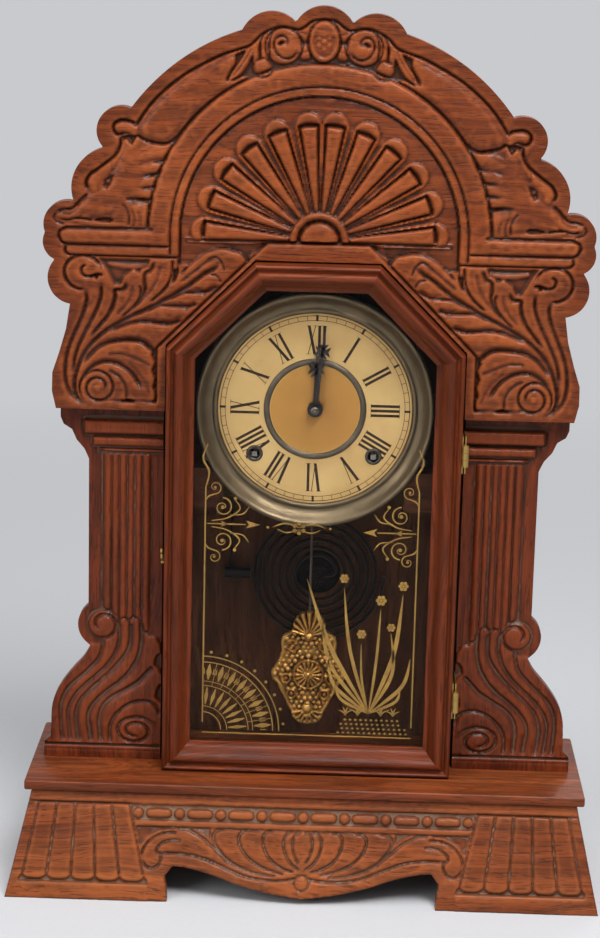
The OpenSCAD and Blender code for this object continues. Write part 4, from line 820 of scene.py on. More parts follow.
def mirrored(carving):
    """The whole face from its right half, whose grid starts at x = 0."""
    return Carving(np.concatenate([-carving.x[:0:-1], carving.x]), carving.z, carving.step,
                   np.concatenate([carving.h[:, :0:-1], carving.h], axis=1))


def pressed_unevenness(carving, amount):
    """Soft unevenness of pressed and hand cleaned carving, the same on each run."""
    rng = np.random.default_rng(7)
    noise = blur(rng.standard_normal(carving.h.shape), max(1, int(1.6 / carving.step)))
    carving.h = carving.h + noise / noise.std() * amount


def lathe(name, profile, centre, y, body, material, turns=128):
    """A turned piece on an axis along Y: (radius, height toward the viewer) points."""
    vertices, faces = [], []
    count = len(profile)
    for k in range(turns):
        for r, up in profile:
            x, z = polar(centre, r, 2 * pi * k / turns)
            vertices.append((x, y - up, z))
        a, b = k * count, (k + 1) % turns * count
        faces += [(a + i, b + i, b + i + 1, a + i + 1) for i in range(count - 1)]
    return put(name, vertices, faces, body, material)


def ribbon(points, widths, n):
    """A flat band along a smooth line, as (points in X and Z, faces)."""
    q = curve_points(points, n)
    w = half_widths(widths, len(q))[:, None]
    v = np.gradient(q, axis=0)
    side = np.stack([-v[:, 1], v[:, 0]], axis=1) / np.maximum(np.hypot(v[:, 0], v[:, 1]), 1e-9)[:, None]
    points = [tuple(p) for pair in zip(q + side * w, q - side * w) for p in pair]
    return points, [(2 * i, 2 * i + 1, 2 * i + 3, 2 * i + 2) for i in range(len(q) - 1)]


class Flat:
    """Flat shapes in X and Z on one plane, gathered into one mesh."""

    def __init__(self):
        self.points, self.faces = [], []

    def add(self, points, faces):
        start = len(self.points)
        self.points += [tuple(p) for p in points]
        self.faces += [tuple(start + i for i in f) for f in faces]

    def shape(self, points):
        self.add(points, [tuple(range(len(points)))])

    def line(self, points, *widths, n=6):
        self.add(*ribbon(points, widths if len(widths) > 1 else widths * 2, n))

    def dot(self, centre, r, n=14):
        self.shape([polar(centre, r, 2 * pi * k / n) for k in range(n)])

    def piece(self, name, y, thick, body, material, slot):
        """The shapes as plates from y back to y + thick."""
        mesh = bpy.data.meshes.new(name)
        mesh.from_pydata([(x * MM, y * MM, z * MM) for x, z in self.points], [], self.faces)
        build = bmesh.new()
        build.from_mesh(mesh)
        bmesh.ops.recalc_face_normals(build, faces=build.faces)
        for face in build.faces:
            if face.normal.y > 0:
                face.normal_flip()
        made = bmesh.ops.extrude_face_region(build, geom=list(build.faces))
        moved = [v for v in made["geom"] if isinstance(v, bmesh.types.BMVert)]
        bmesh.ops.translate(build, verts=moved, vec=(0, thick * MM, 0))
        bmesh.ops.recalc_face_normals(build, faces=build.faces)
        build.to_mesh(mesh)
        build.free()
        return finish_piece(name, mesh, body, material, sharp=0)


# Crest


LOBES = [(0, 545, 20), (32, 541, 20), (10, 423, 132.5), (123.5, 486.5, 15), (129, 451, 25),
         (157, 428, 14.3), (159.5, 417, 12.2), (152, 394.5, 16.7)]
CREST_SIDE = [(154.8, 377.5), (157.2, 362), (161.5, 347), (165.8, 334), (166, 322), (163.5, 311)]
CREST_HALF = [(0, CREST_LOW), (0, 500), (100, 485), (115, 485), (126, 455), (144, 450), (150, 425),
              (158, 417), (153, 395)] + CREST_SIDE
BORDER_LINE = [(0, 556.6), (7, 555.6), (12.4, 551.6), (15.6, 550.2), (18.9, 550.6), (25.5, 551.6),
               (32, 550), (38.9, 546), (44.4, 540.4), (50, 538.1), (62.5, 533.7), (80, 524.4),
               (90, 517.5), (100, 508.7), (107.5, 500), (113.9, 490.2)]
CREST_RELIEF = 4.5
CREST_FACE = 4.0
DOOR_ROOM = 1.2

# Arch: its middle, its two edges and the inner edge of its bead
ARCH = (0.0, 423.6)
ARCH_OUT, ARCH_IN, BEAD_IN = 106.0, 92.8, 87.3

# Fan: its middle, its reach, the round ends of its petals and the angles of their middles
FAN = (0.0, 421.0)
FAN_R = 80.8
LOOP_R = 8.7
PETALS = 6
FIRST_PETAL = 4.2
PETAL_STEP = 15.84
FAN_FLOOR = 1.7
PETAL_RIM, TONGUE_ROOM = 2.3, 3.0
BOSS_EDGE, BOSS_RING, BOSS_IN = 18.8, 16.2, 12.9

# Shelf over the wings and the thin moulding under it, from their lower to their upper edges
SHELF = (416.0, 425.4)
UNDER_SHELF = (409.3, 414.6)
MARGIN = [(-32, 419.4), (32, 419.4), (100.2, 351.2), (100.2, 300), (-100.2, 300), (-100.2, 351.2)]


def crest_body(X, Z):
    """Distance inside the crest's scalloped outline, both halves."""
    A = np.abs(X)
    best = polygon_inside(CREST_HALF, A, Z)
    for x, z, r in LOBES:
        best = np.maximum(best, r - np.hypot(A - x, Z - z))
    return best


def door_room(X, Z, room):
    """Distance inside the door's six cornered outline, grown by room, with no lower edge."""
    A = np.abs(X)
    slant = (DOOR_HALF + DOOR_SHOULDER - A - Z) / 2 ** 0.5 + room
    return inside_all(DOOR_HALF + room - A, DOOR_TOP + room - Z, slant)


def crest_inside(X, Z):
    return inside_all(crest_body(X, Z), -door_room(X, Z, DOOR_ROOM), Z - CREST_LOW)


# Lines of the wing below the shelf, each with its depth and its reach to either side
WING_CUTS = [
    ([(60.5, 406), (65.6, 401.4), (71.1, 398.3), (76.7, 393.9), (82.2, 389.4), (90, 384.4), (104.4, 376.3),
      (120, 368.3), (133.3, 360), (143.3, 349.4), (149.4, 337.8), (151.7, 326), (150, 318), (144, 313.4)],
     3.0, 3.4, 1.5),
    ([(62, 391.5), (68.3, 387.6), (76, 386.6), (84, 386), (93, 381.6)], 2.2, 4.0, 1.0),
    ([(75, 379.5), (81.1, 377.6), (90, 377.6), (98.9, 377.8), (107, 373.6)], 2.2, 4.2, 1.0),
    ([(84, 369), (92.2, 366.2), (101, 366.8), (109, 367.2), (118, 365.6), (131, 360.4)], 2.6, 4.6, 1.1),
    ([(99, 346), (104.4, 350), (109, 353.6), (116, 355), (128.9, 353.6), (138, 349), (146.2, 339.5)],
     2.8, 5.0, 1.1),
    ([(104, 339.3), (112.2, 343.2), (121.5, 346.4), (131, 346)], 1.4, 2.6, 1.0),
    ([(109.5, 324), (115.6, 333.4), (121.1, 337.9), (127.8, 340.6), (134.4, 340.6), (141.5, 336.6),
      (146.5, 330)], 2.7, 4.2, 1.1),
    ([(104.5, 321), (108, 329.5), (112.5, 335.5), (118.5, 341)], 1.1, 2.0, 0.9),
    ([(119.3, 317.5), (119.6, 325), (123.6, 331.6), (130.5, 336)], 1.8, 2.6, 1.0),
    ([(91, 408), (91.5, 399), (93.6, 392.5), (97.5, 387), (105, 380)], 2.7, 1.0, 2.2),
    ([(102.2, 406), (104.6, 400.6), (108, 398.4), (108.6, 393), (108.2, 387.8), (111.2, 381),
      (117.4, 374.6)], 2.7, 1.6, 2.6),
    ([(98, 404), (99.6, 396), (103.6, 388), (109.5, 381)], 1.1, 2.4, 1.0),
    ([(111.4, 391), (110.6, 386), (112.6, 380.6), (116.6, 375.4), (122.6, 370)], 2.4, 1.2, 1.6),
    ([(119.6, 392.6), (121.6, 388.2), (126.8, 387.4), (127, 383), (128.4, 377.4), (131.8, 370.6),
      (137.2, 363.8), (142, 357)], 2.8, 1.4, 2.8),
    ([(115.4, 391), (116, 384.6), (119.6, 378), (125, 371.6)], 1.1, 2.4, 1.0),
    ([(135.6, 392), (135.2, 384.4), (137, 377.6), (140.4, 369.6), (145, 360.4), (149.4, 351),
      (151.8, 342.6), (152.8, 333)], 2.5, 2.2, 1.8),
    ([(145.6, 387.6), (144.6, 381), (146.8, 372), (150.4, 363.3), (154.2, 354.4), (156.9, 345.6),
      (158, 336.7), (157.4, 327.8), (154.6, 321), (149, 315.6)], 2.4, 1.6, 2.4),
    ([(48, 412.8), (57, 415), (64.3, 414.6), (70.5, 412.2), (76, 408.4), (81.4, 403.6), (86, 398)],
     2.4, 1.0, 2.2),
    ([(63, 410.6), (69.5, 406.6), (77.6, 400), (86.4, 393)], 1.5, 1.4, 2.0),
]
TIP_CUTS = [
    ([(58.5, 401), (60.5, 406.5), (64.5, 409.6), (69, 407.6)], 2.0, 1.6, 1.0),
    ([(60.5, 393.4), (63, 397.6), (67.6, 398.4)], 1.8, 1.6, 1.0),
    ([(71, 384.6), (72.6, 388.4), (77, 389.6)], 1.6, 1.4, 0.9),
    ([(82, 375), (83.2, 379), (87, 380.6)], 1.6, 1.4, 0.9),
]
HOLLOWS = [
    ([(103.5, 408), (139, 408), (133.5, 400.5), (129.6, 393.6), (127.2, 389.4), (122.4, 390),
      (120, 395.4), (115.2, 399), (111, 396.8), (109.4, 399.8), (105.6, 401.6)], 1.2, 2.2),
    ([(93.6, 311), (93.6, 351), (101.6, 351), (104.6, 346.8), (102.2, 341.6), (104, 336.6),
      (101.8, 331), (103.4, 325.4), (101, 321.6), (101.8, 317.6), (110, 316), (117.6, 318.6),
      (128, 316), (131, 312)], 0.5, 1.8),
    ([(38, 421), (84, 421), (84, 416.6), (66, 416.4), (58, 416.6), (51, 414), (44, 405)], 1.1, 1.6),
    ([(86.8, 412), (90.6, 406), (90.8, 396), (93, 391), (88.6, 393.4), (86.4, 400)], 0.7, 1.2),
]
WING_TOP = [(32, 419), (44, 410), (50, 413), (58, 415.4), (66, 415), (73, 411.6), (79, 406.4),
            (86.6, 400), (86.6, 380), (60, 380), (32, 400)]
CURL_HOLLOW = [(136.4, 397.4), (142.6, 396.4), (144.6, 393.6), (141, 396), (138, 393)]

# Ground of the animal head, then its raised masses: brow, cheek, snout, locks, jaw, lips and ear
HEAD = [(92, 479), (112, 482), (124, 484), (124, 476), (133, 466), (144, 458), (144, 450), (153, 438),
        (164, 435), (163, 428), (150, 426.4), (104, 426.4), (104, 440), (98, 462)]
HEAD_MASSES = [
    ([(118, 486), (118.4, 476), (119, 466), (121, 457), (124, 450)], (9, 13, 16, 16, 14), 4.8),
    ([(122.6, 477), (126.6, 469.6), (132.6, 463.4), (138, 458.6), (140.6, 454.4), (140, 450.6)],
     (3, 5.6, 8, 9, 8, 6), 4.9),
    ([(124, 449), (133, 445), (141, 441.2), (148, 437), (155, 433.6), (161.6, 433.6)],
     (14, 13, 11, 8.4, 6, 4), 4.9),
    ([(93, 476.4), (101, 474.6), (110, 472), (118, 468)], (9, 10, 10, 8), 4.7),
    ([(97.6, 465.2), (104, 464), (112, 462), (119, 459)], (6, 7.4, 8, 8), 4.6),
    ([(101.4, 456), (108, 455.6), (115, 454.8), (122, 452.6)], (6.4, 7.4, 8, 8), 4.6),
    ([(103.4, 447.8), (109, 448.2), (116, 448.8), (124, 448)], (6.2, 7.2, 8, 8), 4.6),
    ([(109.6, 434.4), (114, 434.8), (119, 435.4), (125, 437)], (14, 16, 15, 12), 4.7),
    ([(121, 440), (130, 438.8), (138, 437), (146, 434)], (10, 8.4, 7.6, 6), 4.7),
    ([(119, 428.6), (128, 428.2), (136, 428.2), (146, 429.4), (152, 430.4)], (4, 3.4, 3.2, 3, 2.4), 4.3),
    ([(115.4, 487.8), (120, 488.8), (125, 488.4)], (5.6, 6.4, 6.6), 4.8)]
HEAD_CUTS = [
    ([(88.6, 484), (92, 480.6), (97, 478.9), (103.7, 479.8), (109.6, 481.4), (114, 484.4)], 3.0, 2.2, 1.4),
    ([(124.2, 478), (127.6, 471.6), (129.4, 466.4), (128.4, 461)], 0.9, 2.0, 1.4),
    ([(122.6, 441.6), (119.4, 437.4), (118.2, 432), (119, 427.6)], 1.7, 1.2, 1.6),
    ([(117.2, 439), (115.2, 434.4), (115, 430), (115.8, 427.2)], 1.3, 1.2, 1.4),
    ([(112.6, 437), (111.2, 433), (111.4, 428)], 0.8, 1.2, 1.4),
    ([(104.4, 426.5), (104.8, 433), (105.4, 439.8)], 3.0, 1.6, 1.4),
    ([(143.6, 447.4), (148, 443.4), (151.6, 439.4), (154.4, 437.4), (159, 437), (163.4, 435)],
     2.6, 1.4, 1.0),
    ([(163.4, 435), (165, 432), (163, 429.2), (158, 427.6)], 2.0, 1.2, 1.0),
    ([(141, 430.2), (146, 431.6), (152, 431.6), (156.6, 430.4), (161, 431.2)], 1.8, 1.2, 1.0),
    ([(149, 441), (151, 437), (155, 434.6), (160, 434.4)], 1.1, 1.2, 1.4),
]
# Notches between the locks, deepest beside the arch and fading into the head
LOCK_CUTS = [
    ([(86, 474), (92, 471.6), (97.5, 468.4), (104, 467)], 3.6, 2.0, 2.4),
    ([(88, 465), (95, 462.4), (101, 460), (110, 459)], 3.6, 2.0, 2.2),
    ([(92, 454.6), (98, 453), (104, 451.8), (112, 451.2)], 3.6, 1.8, 2.2),
    ([(92, 441.6), (102, 442.4), (110, 444.4), (121, 444.6)], 3.8, 2.0, 2.4),
    ([(104, 477), (110, 473.6), (115.6, 470)], 0.9, 1.6, 1.6),
]
EYE = [(127.4, 459.6), (130.8, 459), (134.2, 456), (134.8, 451.4), (132, 449.8), (129.4, 453.6)]
PUPIL = (131.6, 455.0)
MOUTH = [(127, 430.8), (129.6, 433), (134, 433.2), (138.6, 432), (141, 430.4), (136, 429.4),
         (130, 429.2)]
EAR_HOLLOW = [(112.8, 484), (118, 484.6), (123.4, 483.6), (123.4, 480), (120, 480.6), (116.6, 477)]
TOP_CUTS = [
    ([(31.4, 549.6), (33.6, 542), (33, 533)], 2.2, 1.0, 1.0),
    ([(36.6, 548.8), (39.2, 541), (38.8, 532.6)], 2.4, 1.0, 1.0),
    ([(31.8, 528.4), (34, 531.6), (38, 532.6), (42.4, 530.6)], 2.2, 1.0, 1.2),
    ([(44, 539), (47.6, 532), (52, 525.4), (56, 520.6)], 1.6, 1.4, 1.0),
    ([(48, 537), (52.4, 530), (56.6, 523.6), (59, 518)], 2.8, 1.8, 1.2),
    ([(43.6, 534), (46, 528), (50.4, 522), (56.6, 518.4)], 2.8, 1.2, 1.6),
]
EAR_CUTS = [
    ([(113.9, 490.2), (116.4, 492), (120, 492.9), (124.4, 492.9), (128, 490.4), (128.3, 487),
      (125.8, 484), (120.6, 484.8), (116.4, 484.4)], 3.2, 1.1, 1.8),
    ([(124.2, 484), (124.2, 477), (126.9, 471.6), (132.5, 466.8), (138, 462.6), (143, 458.8),
      (145.4, 453.7), (143.8, 449.6)], 3.4, 1.1, 2.0),
]
NECK = [(53, 516), (56.5, 520), (52, 527), (46, 538), (50, 537.6), (62.5, 533.2), (80, 523.9),
        (90, 517), (100, 508.2), (107, 499.6), (113.4, 490), (114.6, 485), (109.6, 481.6),
        (103.7, 480.2), (97, 479.3), (92, 481), (88.6, 484.6), (84, 491), (70, 505)]


def carve_fan(c):
    """Petals with a looped rim and a raised tongue, over the half round boss."""
    radius = c.far(FAN)
    angle = np.degrees(np.arctan2(c.Z - FAN[1], c.X))
    loop, tongue_end = FAN_R - LOOP_R, FAN_R - 8.0
    for k in range(PETALS):
        off = np.radians(angle - (FIRST_PETAL + k * PETAL_STEP))
        u = radius * np.cos(off)
        v = np.abs(radius * np.sin(off))
        share = np.clip(u / loop, 0.12, 1)
        outer = np.where(u < loop, LOOP_R * share - v, LOOP_R - np.hypot(u - loop, v))
        corner = 1.8 * np.clip(v / (LOOP_R * share), 0, 1) ** 3
        opening = np.minimum(tongue_end - corner - u, (LOOP_R - PETAL_RIM) * share - v)
        rim = np.clip(np.minimum(outer, -opening) / (1.0 + 1.6 * step_up(u, loop - 4, loop + 2)), 0, 1)
        rim = rim * (1 - 0.5 * step_up(outer, 2.6, 7.0) * step_up(u, loop - 5, loop + 1))
        tongue = np.minimum(tongue_end - corner - 1.3 - u, (LOOP_R - TONGUE_ROOM) * share - v)
        height = np.maximum(3.9 * round_edge(rim), 4.1 * round_edge(tongue / (0.9 + 1.7 * share)))
        c.level((outer > 0) & (u > 12) & (c.Z > FAN[1] - 2.4), height)
    above = np.clip((c.Z - FAN[1] + 0.8) / 0.8, 0, 1)
    ring = np.sqrt(np.clip(1 - ((radius - BOSS_RING) / 2.6) ** 2, 0, 1))
    middle = np.clip(1 - (radius / 12.2) ** 6, 0, 1) ** 0.5
    boss = 0.6 + 3.9 * np.where(radius < BOSS_IN, middle, ring)
    c.level((radius < BOSS_EDGE) & (above > 0), boss * above)


def carve_arch(c, from_arch):
    """Wide flat ring and thin bead round the fan, running down to the shelf."""
    c.plate(inside_all(ARCH_OUT - from_arch, from_arch - ARCH_IN, c.Z - 409.4), CREST_RELIEF, 1.5)
    c.crease(np.where(c.Z > 425.6, from_arch, 999) - ARCH_OUT - 0.6, 3.2, 0.9, 2.2)
    c.crease(np.where(c.Z > 410, from_arch, 999) - ARCH_IN + 0.3, 2.8, 0.8, 0.8)
    c.plate(inside_all(ARCH_IN - 0.4 - from_arch, from_arch - BEAD_IN, c.Z - 401), 3.9, 1.8)
    c.crease(np.where(c.Z > 404, from_arch, 999) - BEAD_IN + 0.4, 2.6, 1.3, 0.8)


def carve_top(c):
    """Rosette, scrolls, small leaves and the bell leaf at the top."""
    out = c.far(ARCH)
    c.sink(np.where((c.X < 54) & (c.Z > 521), np.minimum(124 - out, out - 107), -1), 1.4, 1.6)
    for z, lift in ((548.2, 1), (536.8, -1)):
        c.disc((11.8, z), 5.2, 3.9, 0.35)
        c.cut([(8, z - 1.6 * lift), (12, z), (16.8, z + 1.2 * lift)], 1.5, 0.9, 0.9)
    rosette = (0.0, 543.4)
    c.disc(rosette, 9.6, 3.2, 0.2, squeeze=1.34)
    c.ring(rosette, 7.9, 3.4, 4.4, squeeze=1.38)
    c.crease(c.far(rosette, 1.34) - 9.8, 2.4, 0.8, 1.4)
    c.disc(rosette, 5.6, 3.6, 0.3, squeeze=1.2)
    for k in range(6):
        c.disc(polar(rosette, 3.6, radians(30 + 60 * k), 4.3 / 3.6), 2.1, 4.2)
    c.disc(rosette, 2.2, 4.8)
    scroll = (24.6, 540.0)
    c.disc(scroll, 11.2, 4.4, 0.22)
    c.cut([(16.4, 537.6), (19.4, 533.8), (24, 532.9), (28.6, 535.8), (30.6, 540.4), (29.2, 545),
           (25.4, 546.2), (22.4, 543.6), (24, 540.6)], 2.4, 1.0, 1.6)
    c.cut([(25.2, 542.6), (26.4, 542.2), (27.2, 541.4)], 4.0, 1.8, 1.8, ends=0)
    c.crease(c.far(scroll) - 11.3, 2.8, 0.8, 1.4)
    c.ridge([(33.4, 549.6), (36, 542), (36.2, 531)], (5, 6.6, 5.6), 4.4, round_=0.4)
    c.ridge([(39.6, 546.4), (41.8, 539.5), (41.4, 531)], (5, 6, 4.6), 4.2, round_=0.4)
    bell = (37.4, 527.4)
    c.disc(bell, 6.0, 4.6, 0.3)
    c.crease(np.where(c.Z < 530, c.far(bell), 99) - 6.2, 2.6, 0.8, 1.4)
    c.ridge([(43.4, 541), (46.4, 534), (50.4, 527), (56.2, 519.6)], (5, 8, 9, 5), 4.6, round_=0.4)
    c.cut_all(TOP_CUTS)


def carve_wing(c):
    """Acanthus wing with its scroll, under the shelf."""
    c.cut_all(WING_CUTS + TIP_CUTS)
    c.sink_all(HOLLOWS)
    c.ridge([(107, 403.4), (113, 402.4), (122, 402.4), (130.5, 403.6)], (3, 4.6, 4.6, 3), 2.8)
    volute = (137.2, 324.8)
    c.disc(volute, 12.6, 4.0, 0.3)
    c.cut(spiral(volute, 12.4, 4.4, 300, 1.75), 2.6, 0.9, 1.8, n=1)
    c.disc(volute, 4.4, 4.6, 0.4)
    c.disc((147, 398), 11.0, 4.4, 0.25)
    c.cut([(145.6, 387.4), (149.6, 387.2), (154.6, 389.6), (158, 394.4), (158.6, 400), (155.6, 405.4),
           (150, 408.4), (143.6, 408.4), (138, 405.4), (134.6, 400.4)], 3.0, 2.0, 1.1)
    c.cut([(134, 396.6), (138, 397), (142.2, 395.4), (146.6, 396.6), (147.6, 400.6), (144.8, 402.8)],
          3.0, 1.2, 1.6)
    c.sink(c.inside(CURL_HOLLOW), 0.8)


def carve_head(c, from_arch):
    """Animal head in profile beside the arch, with its mane of short locks."""
    c.plate(np.minimum(c.inside(NECK), from_arch - ARCH_OUT - 1.0), 4.7, 5.0)
    c.sink(c.inside(HEAD), 3.5, 1.6)
    for points, widths, top in HEAD_MASSES:
        c.ridge(points, widths, top, round_=0.42, base=2.6)
    c.cut_all(HEAD_CUTS + EAR_CUTS)
    c.cut_all(LOCK_CUTS, ends=0.5)
    c.uncut((c.Z > 427) & (from_arch < ARCH_OUT))
    c.sink(c.inside(EYE), 1.4, 1.3)
    c.disc(PUPIL, 1.5, 3.4)
    c.sink(c.inside(MOUTH), 0.9, 1.2)
    c.sink(c.inside(EAR_HOLLOW), 1.0, 1.2)


def carve_shelf(c):
    """Shelf under the head with its round nose, and the thin moulding below it."""
    low, high = SHELF
    nose = 163.5 - c.X - 0.7 * np.abs(c.Z - 421)
    shelf = inside_all(c.X - (ARCH_IN + 0.4), 161.5 - c.X, c.Z - low, high - c.Z, nose)
    c.plate(shelf, CREST_RELIEF + 0.3, 2.2)
    c.cut([(104, 426.1), (130, 426.1), (157, 426.1), (161.6, 423.6), (162.4, 420.6), (160, 416.6),
           (157, 415.2), (ARCH_IN + 1, 415.2)], 3.0, 1.0, 1.4, n=1, ends=0)
    low, high = UNDER_SHELF
    c.plate(inside_all(c.X - 93.0, 157.5 - c.X, c.Z - low, high - c.Z), 4.2, 1.8)
    c.cut([(88, 408.7), (150, 408.7), (155.6, 408.9), (158, 411), (157.6, 414)], 3.0, 1.0, 1.5,
          n=1, ends=0)


def carve_crest(step):
    """The right half of the crest's face: flat masses, then hollows, then the carver's cuts."""
    c = Carving.over(0.0, 174.0, CREST_LOW - 1, 566.0, step)
    from_arch = np.where(c.Z > ARCH[1], c.far(ARCH), c.X)
    c.h[:] = CREST_FACE
    c.level((from_arch < BEAD_IN) & (c.Z > 404), FAN_FLOOR)
    c.level(c.inside(WING_TOP) > 0, CREST_FACE)
    carve_fan(c)
    carve_wing(c)
    carve_head(c, from_arch)
    c.cut(BORDER_LINE, 3.2, 1.8, 1.0, ends=0)
    carve_arch(c, from_arch)
    carve_shelf(c)
    carve_top(c)
    c.plate(np.minimum(c.Z - CREST_LOW + 2, CREST_LOW + 5.4 - c.Z), CREST_RELIEF - 0.4, 1.6)
    c.crease(np.where(c.X < 140, c.Z, 999) - CREST_LOW - 6.0, 2.0, 0.6, 1.4)
    for z, reach in ((418.9, 82), (421.4, 84)):
        bar = np.minimum(reach - c.X, 1.0 - np.abs(c.Z - z))
        c.plate(np.where(c.X > 36, bar, -1), 2.6, 1.0)
    margin = c.inside(MARGIN)
    c.level(margin > 0, 3.8)
    c.uncut(margin > 0)
    c.crease(np.where(c.Z > 318, -margin, 99), 2.8, 0.8, 1.6)
    c.settle()
    c.h = np.minimum(c.h, CREST_RELIEF + 0.4)
    return c


class CLOCK_OT_crest(bpy.types.Operator):
    """Carves the crest panel: arch, fan, beast heads, shelf, wings and top ornament"""
    bl_idname = "clock.crest"
    bl_label = "Carved crest"

    def execute(self, context):
        carving = mirrored(carved(carve_crest, face_step(context.scene.clock_wood.carving_step)))
        pressed_unevenness(carving, 0.10)
        piece = carved_board("crest", carving, crest_inside, CREST_FRONT + CREST_RELIEF, CREST_BACK,
                             "case", oak("carved oak", carved=1.0, aged=0.450))
        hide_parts("crest_panel")
        return {"FINISHED"}


# Pilasters


PILASTER_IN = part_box("pilaster_right")[0][0] / MM
PILASTER_RELIEF = 3.0
PILASTER_TOP = high_z("pilaster_right")
SHAFT_OUT = 143.7
FOOT_EDGE = [(168.2, 88), (167.8, 99), (167.2, 109), (164.8, 117.5), (160, 126), (153.5, 134.5),
             (147, 142), (142.5, 150)]
PILASTER = ([(PILASTER_IN, LEDGE_TOP), (172.5, LEDGE_TOP), (172.5, 83.3), (171.5, 85)]
            + [tuple(p) for p in curve_points(FOOT_EDGE, 4)]
            + [(140.7, 158), (SHAFT_OUT, 176), (SHAFT_OUT, 275.8), (146.7, 282.5), (151.7, 288.3),
               (154.7, 295), (160, 298.3), (162, 303), (162, PILASTER_TOP), (PILASTER_IN, PILASTER_TOP)])
VOLUTE = (134.5, 165.0)
LOWER_SCROLL = (112.8, 92.6)

# Shaft from the top of the foot to the capital, with its first reed's edge and their spacing
SHAFT_LOW, SHAFT_HIGH = 158.0, 282.0
FIRST_REED, REED_PITCH, REEDS = 104.2, 4.95, 6
PLINTH_TOP = 83.4

# Steps of the capital: upper and lower edge, reach to the side and height of the relief
CAPITAL = [(302.4, 292.6, 147.0, 6.0), (291.4, 284.6, 141.5, 4.8), (283.6, 281.0, 137.5, 3.6)]

# Lines of the pilaster's foot, from the shaft down, with depth and reach to either side
FOOT_CUTS = [
    ([(110.2, 167), (109.8, 158), (110.6, 148), (114.2, 138.3), (121.7, 128.3), (131.7, 120),
      (140, 111.7), (144.2, 103.3), (143.9, 93.3), (142.6, 84)], 2.5, 1.2, 4.6),
    ([(117.2, 167), (116.8, 158), (117.8, 150), (121.4, 143.4), (128.6, 134.6), (140, 123.3),
      (149.2, 113.3), (152.5, 103.3), (152.2, 93.3), (150.6, 84)], 2.5, 1.2, 4.6),
    ([(134.6, 155), (136.7, 143.3), (145, 133.3), (156.7, 121.7), (161.7, 111.7), (162.6, 103.3),
      (162, 94), (161, 84)], 2.5, 1.2, 3.6),
    ([(124, 166), (123.8, 157), (126.6, 146), (133, 136), (143.5, 126), (153, 115.6), (157.4, 104.5),
      (157, 94), (155.8, 84)], 2.2, 1.2, 3.8),
    ([(101.5, 137.5), (105.8, 133.3), (111.7, 126.7), (120, 121.2), (130, 114.6), (135.8, 106.7),
      (137.2, 96.7), (136, 84)], 2.5, 1.2, 4.4),
    ([(96.4, 104), (98.4, 109.6), (103, 113), (110, 113.6), (117.5, 111), (124, 105.6), (128.6, 98.6),
      (130, 91), (129.2, 84)], 2.5, 1.2, 2.6),
]
FOOT_HOLLOWS = [
    ([(94, 162), (110, 162), (109, 159.4), (104, 159), (99.8, 156.6), (97.2, 152.6), (96.4, 147), (94, 147)],
     0.8, 1.2),
    ([(94, 148), (98.6, 146.6), (100.8, 142.6), (101.4, 138.4), (98.4, 136), (96.4, 132.6), (94, 132)],
     0.7, 1.4),
    ([(94, 127), (97.6, 125.6), (100, 121), (100.4, 116.4), (98, 113.6), (94, 111)], 0.7, 1.4),
]
FOOT_TOPS = [(109.4, 157), (110, 166), (111.4, 169.6), (115.6, 169.8), (117.1, 167.2), (118.6, 169),
             (122, 168.8), (123.8, 165.6), (124, 157)]


def pilaster_inside(X, Z):
    body = polygon_inside(PILASTER, X, Z)
    return np.maximum(body, 16.0 - np.hypot(X - VOLUTE[0], Z - VOLUTE[1]))


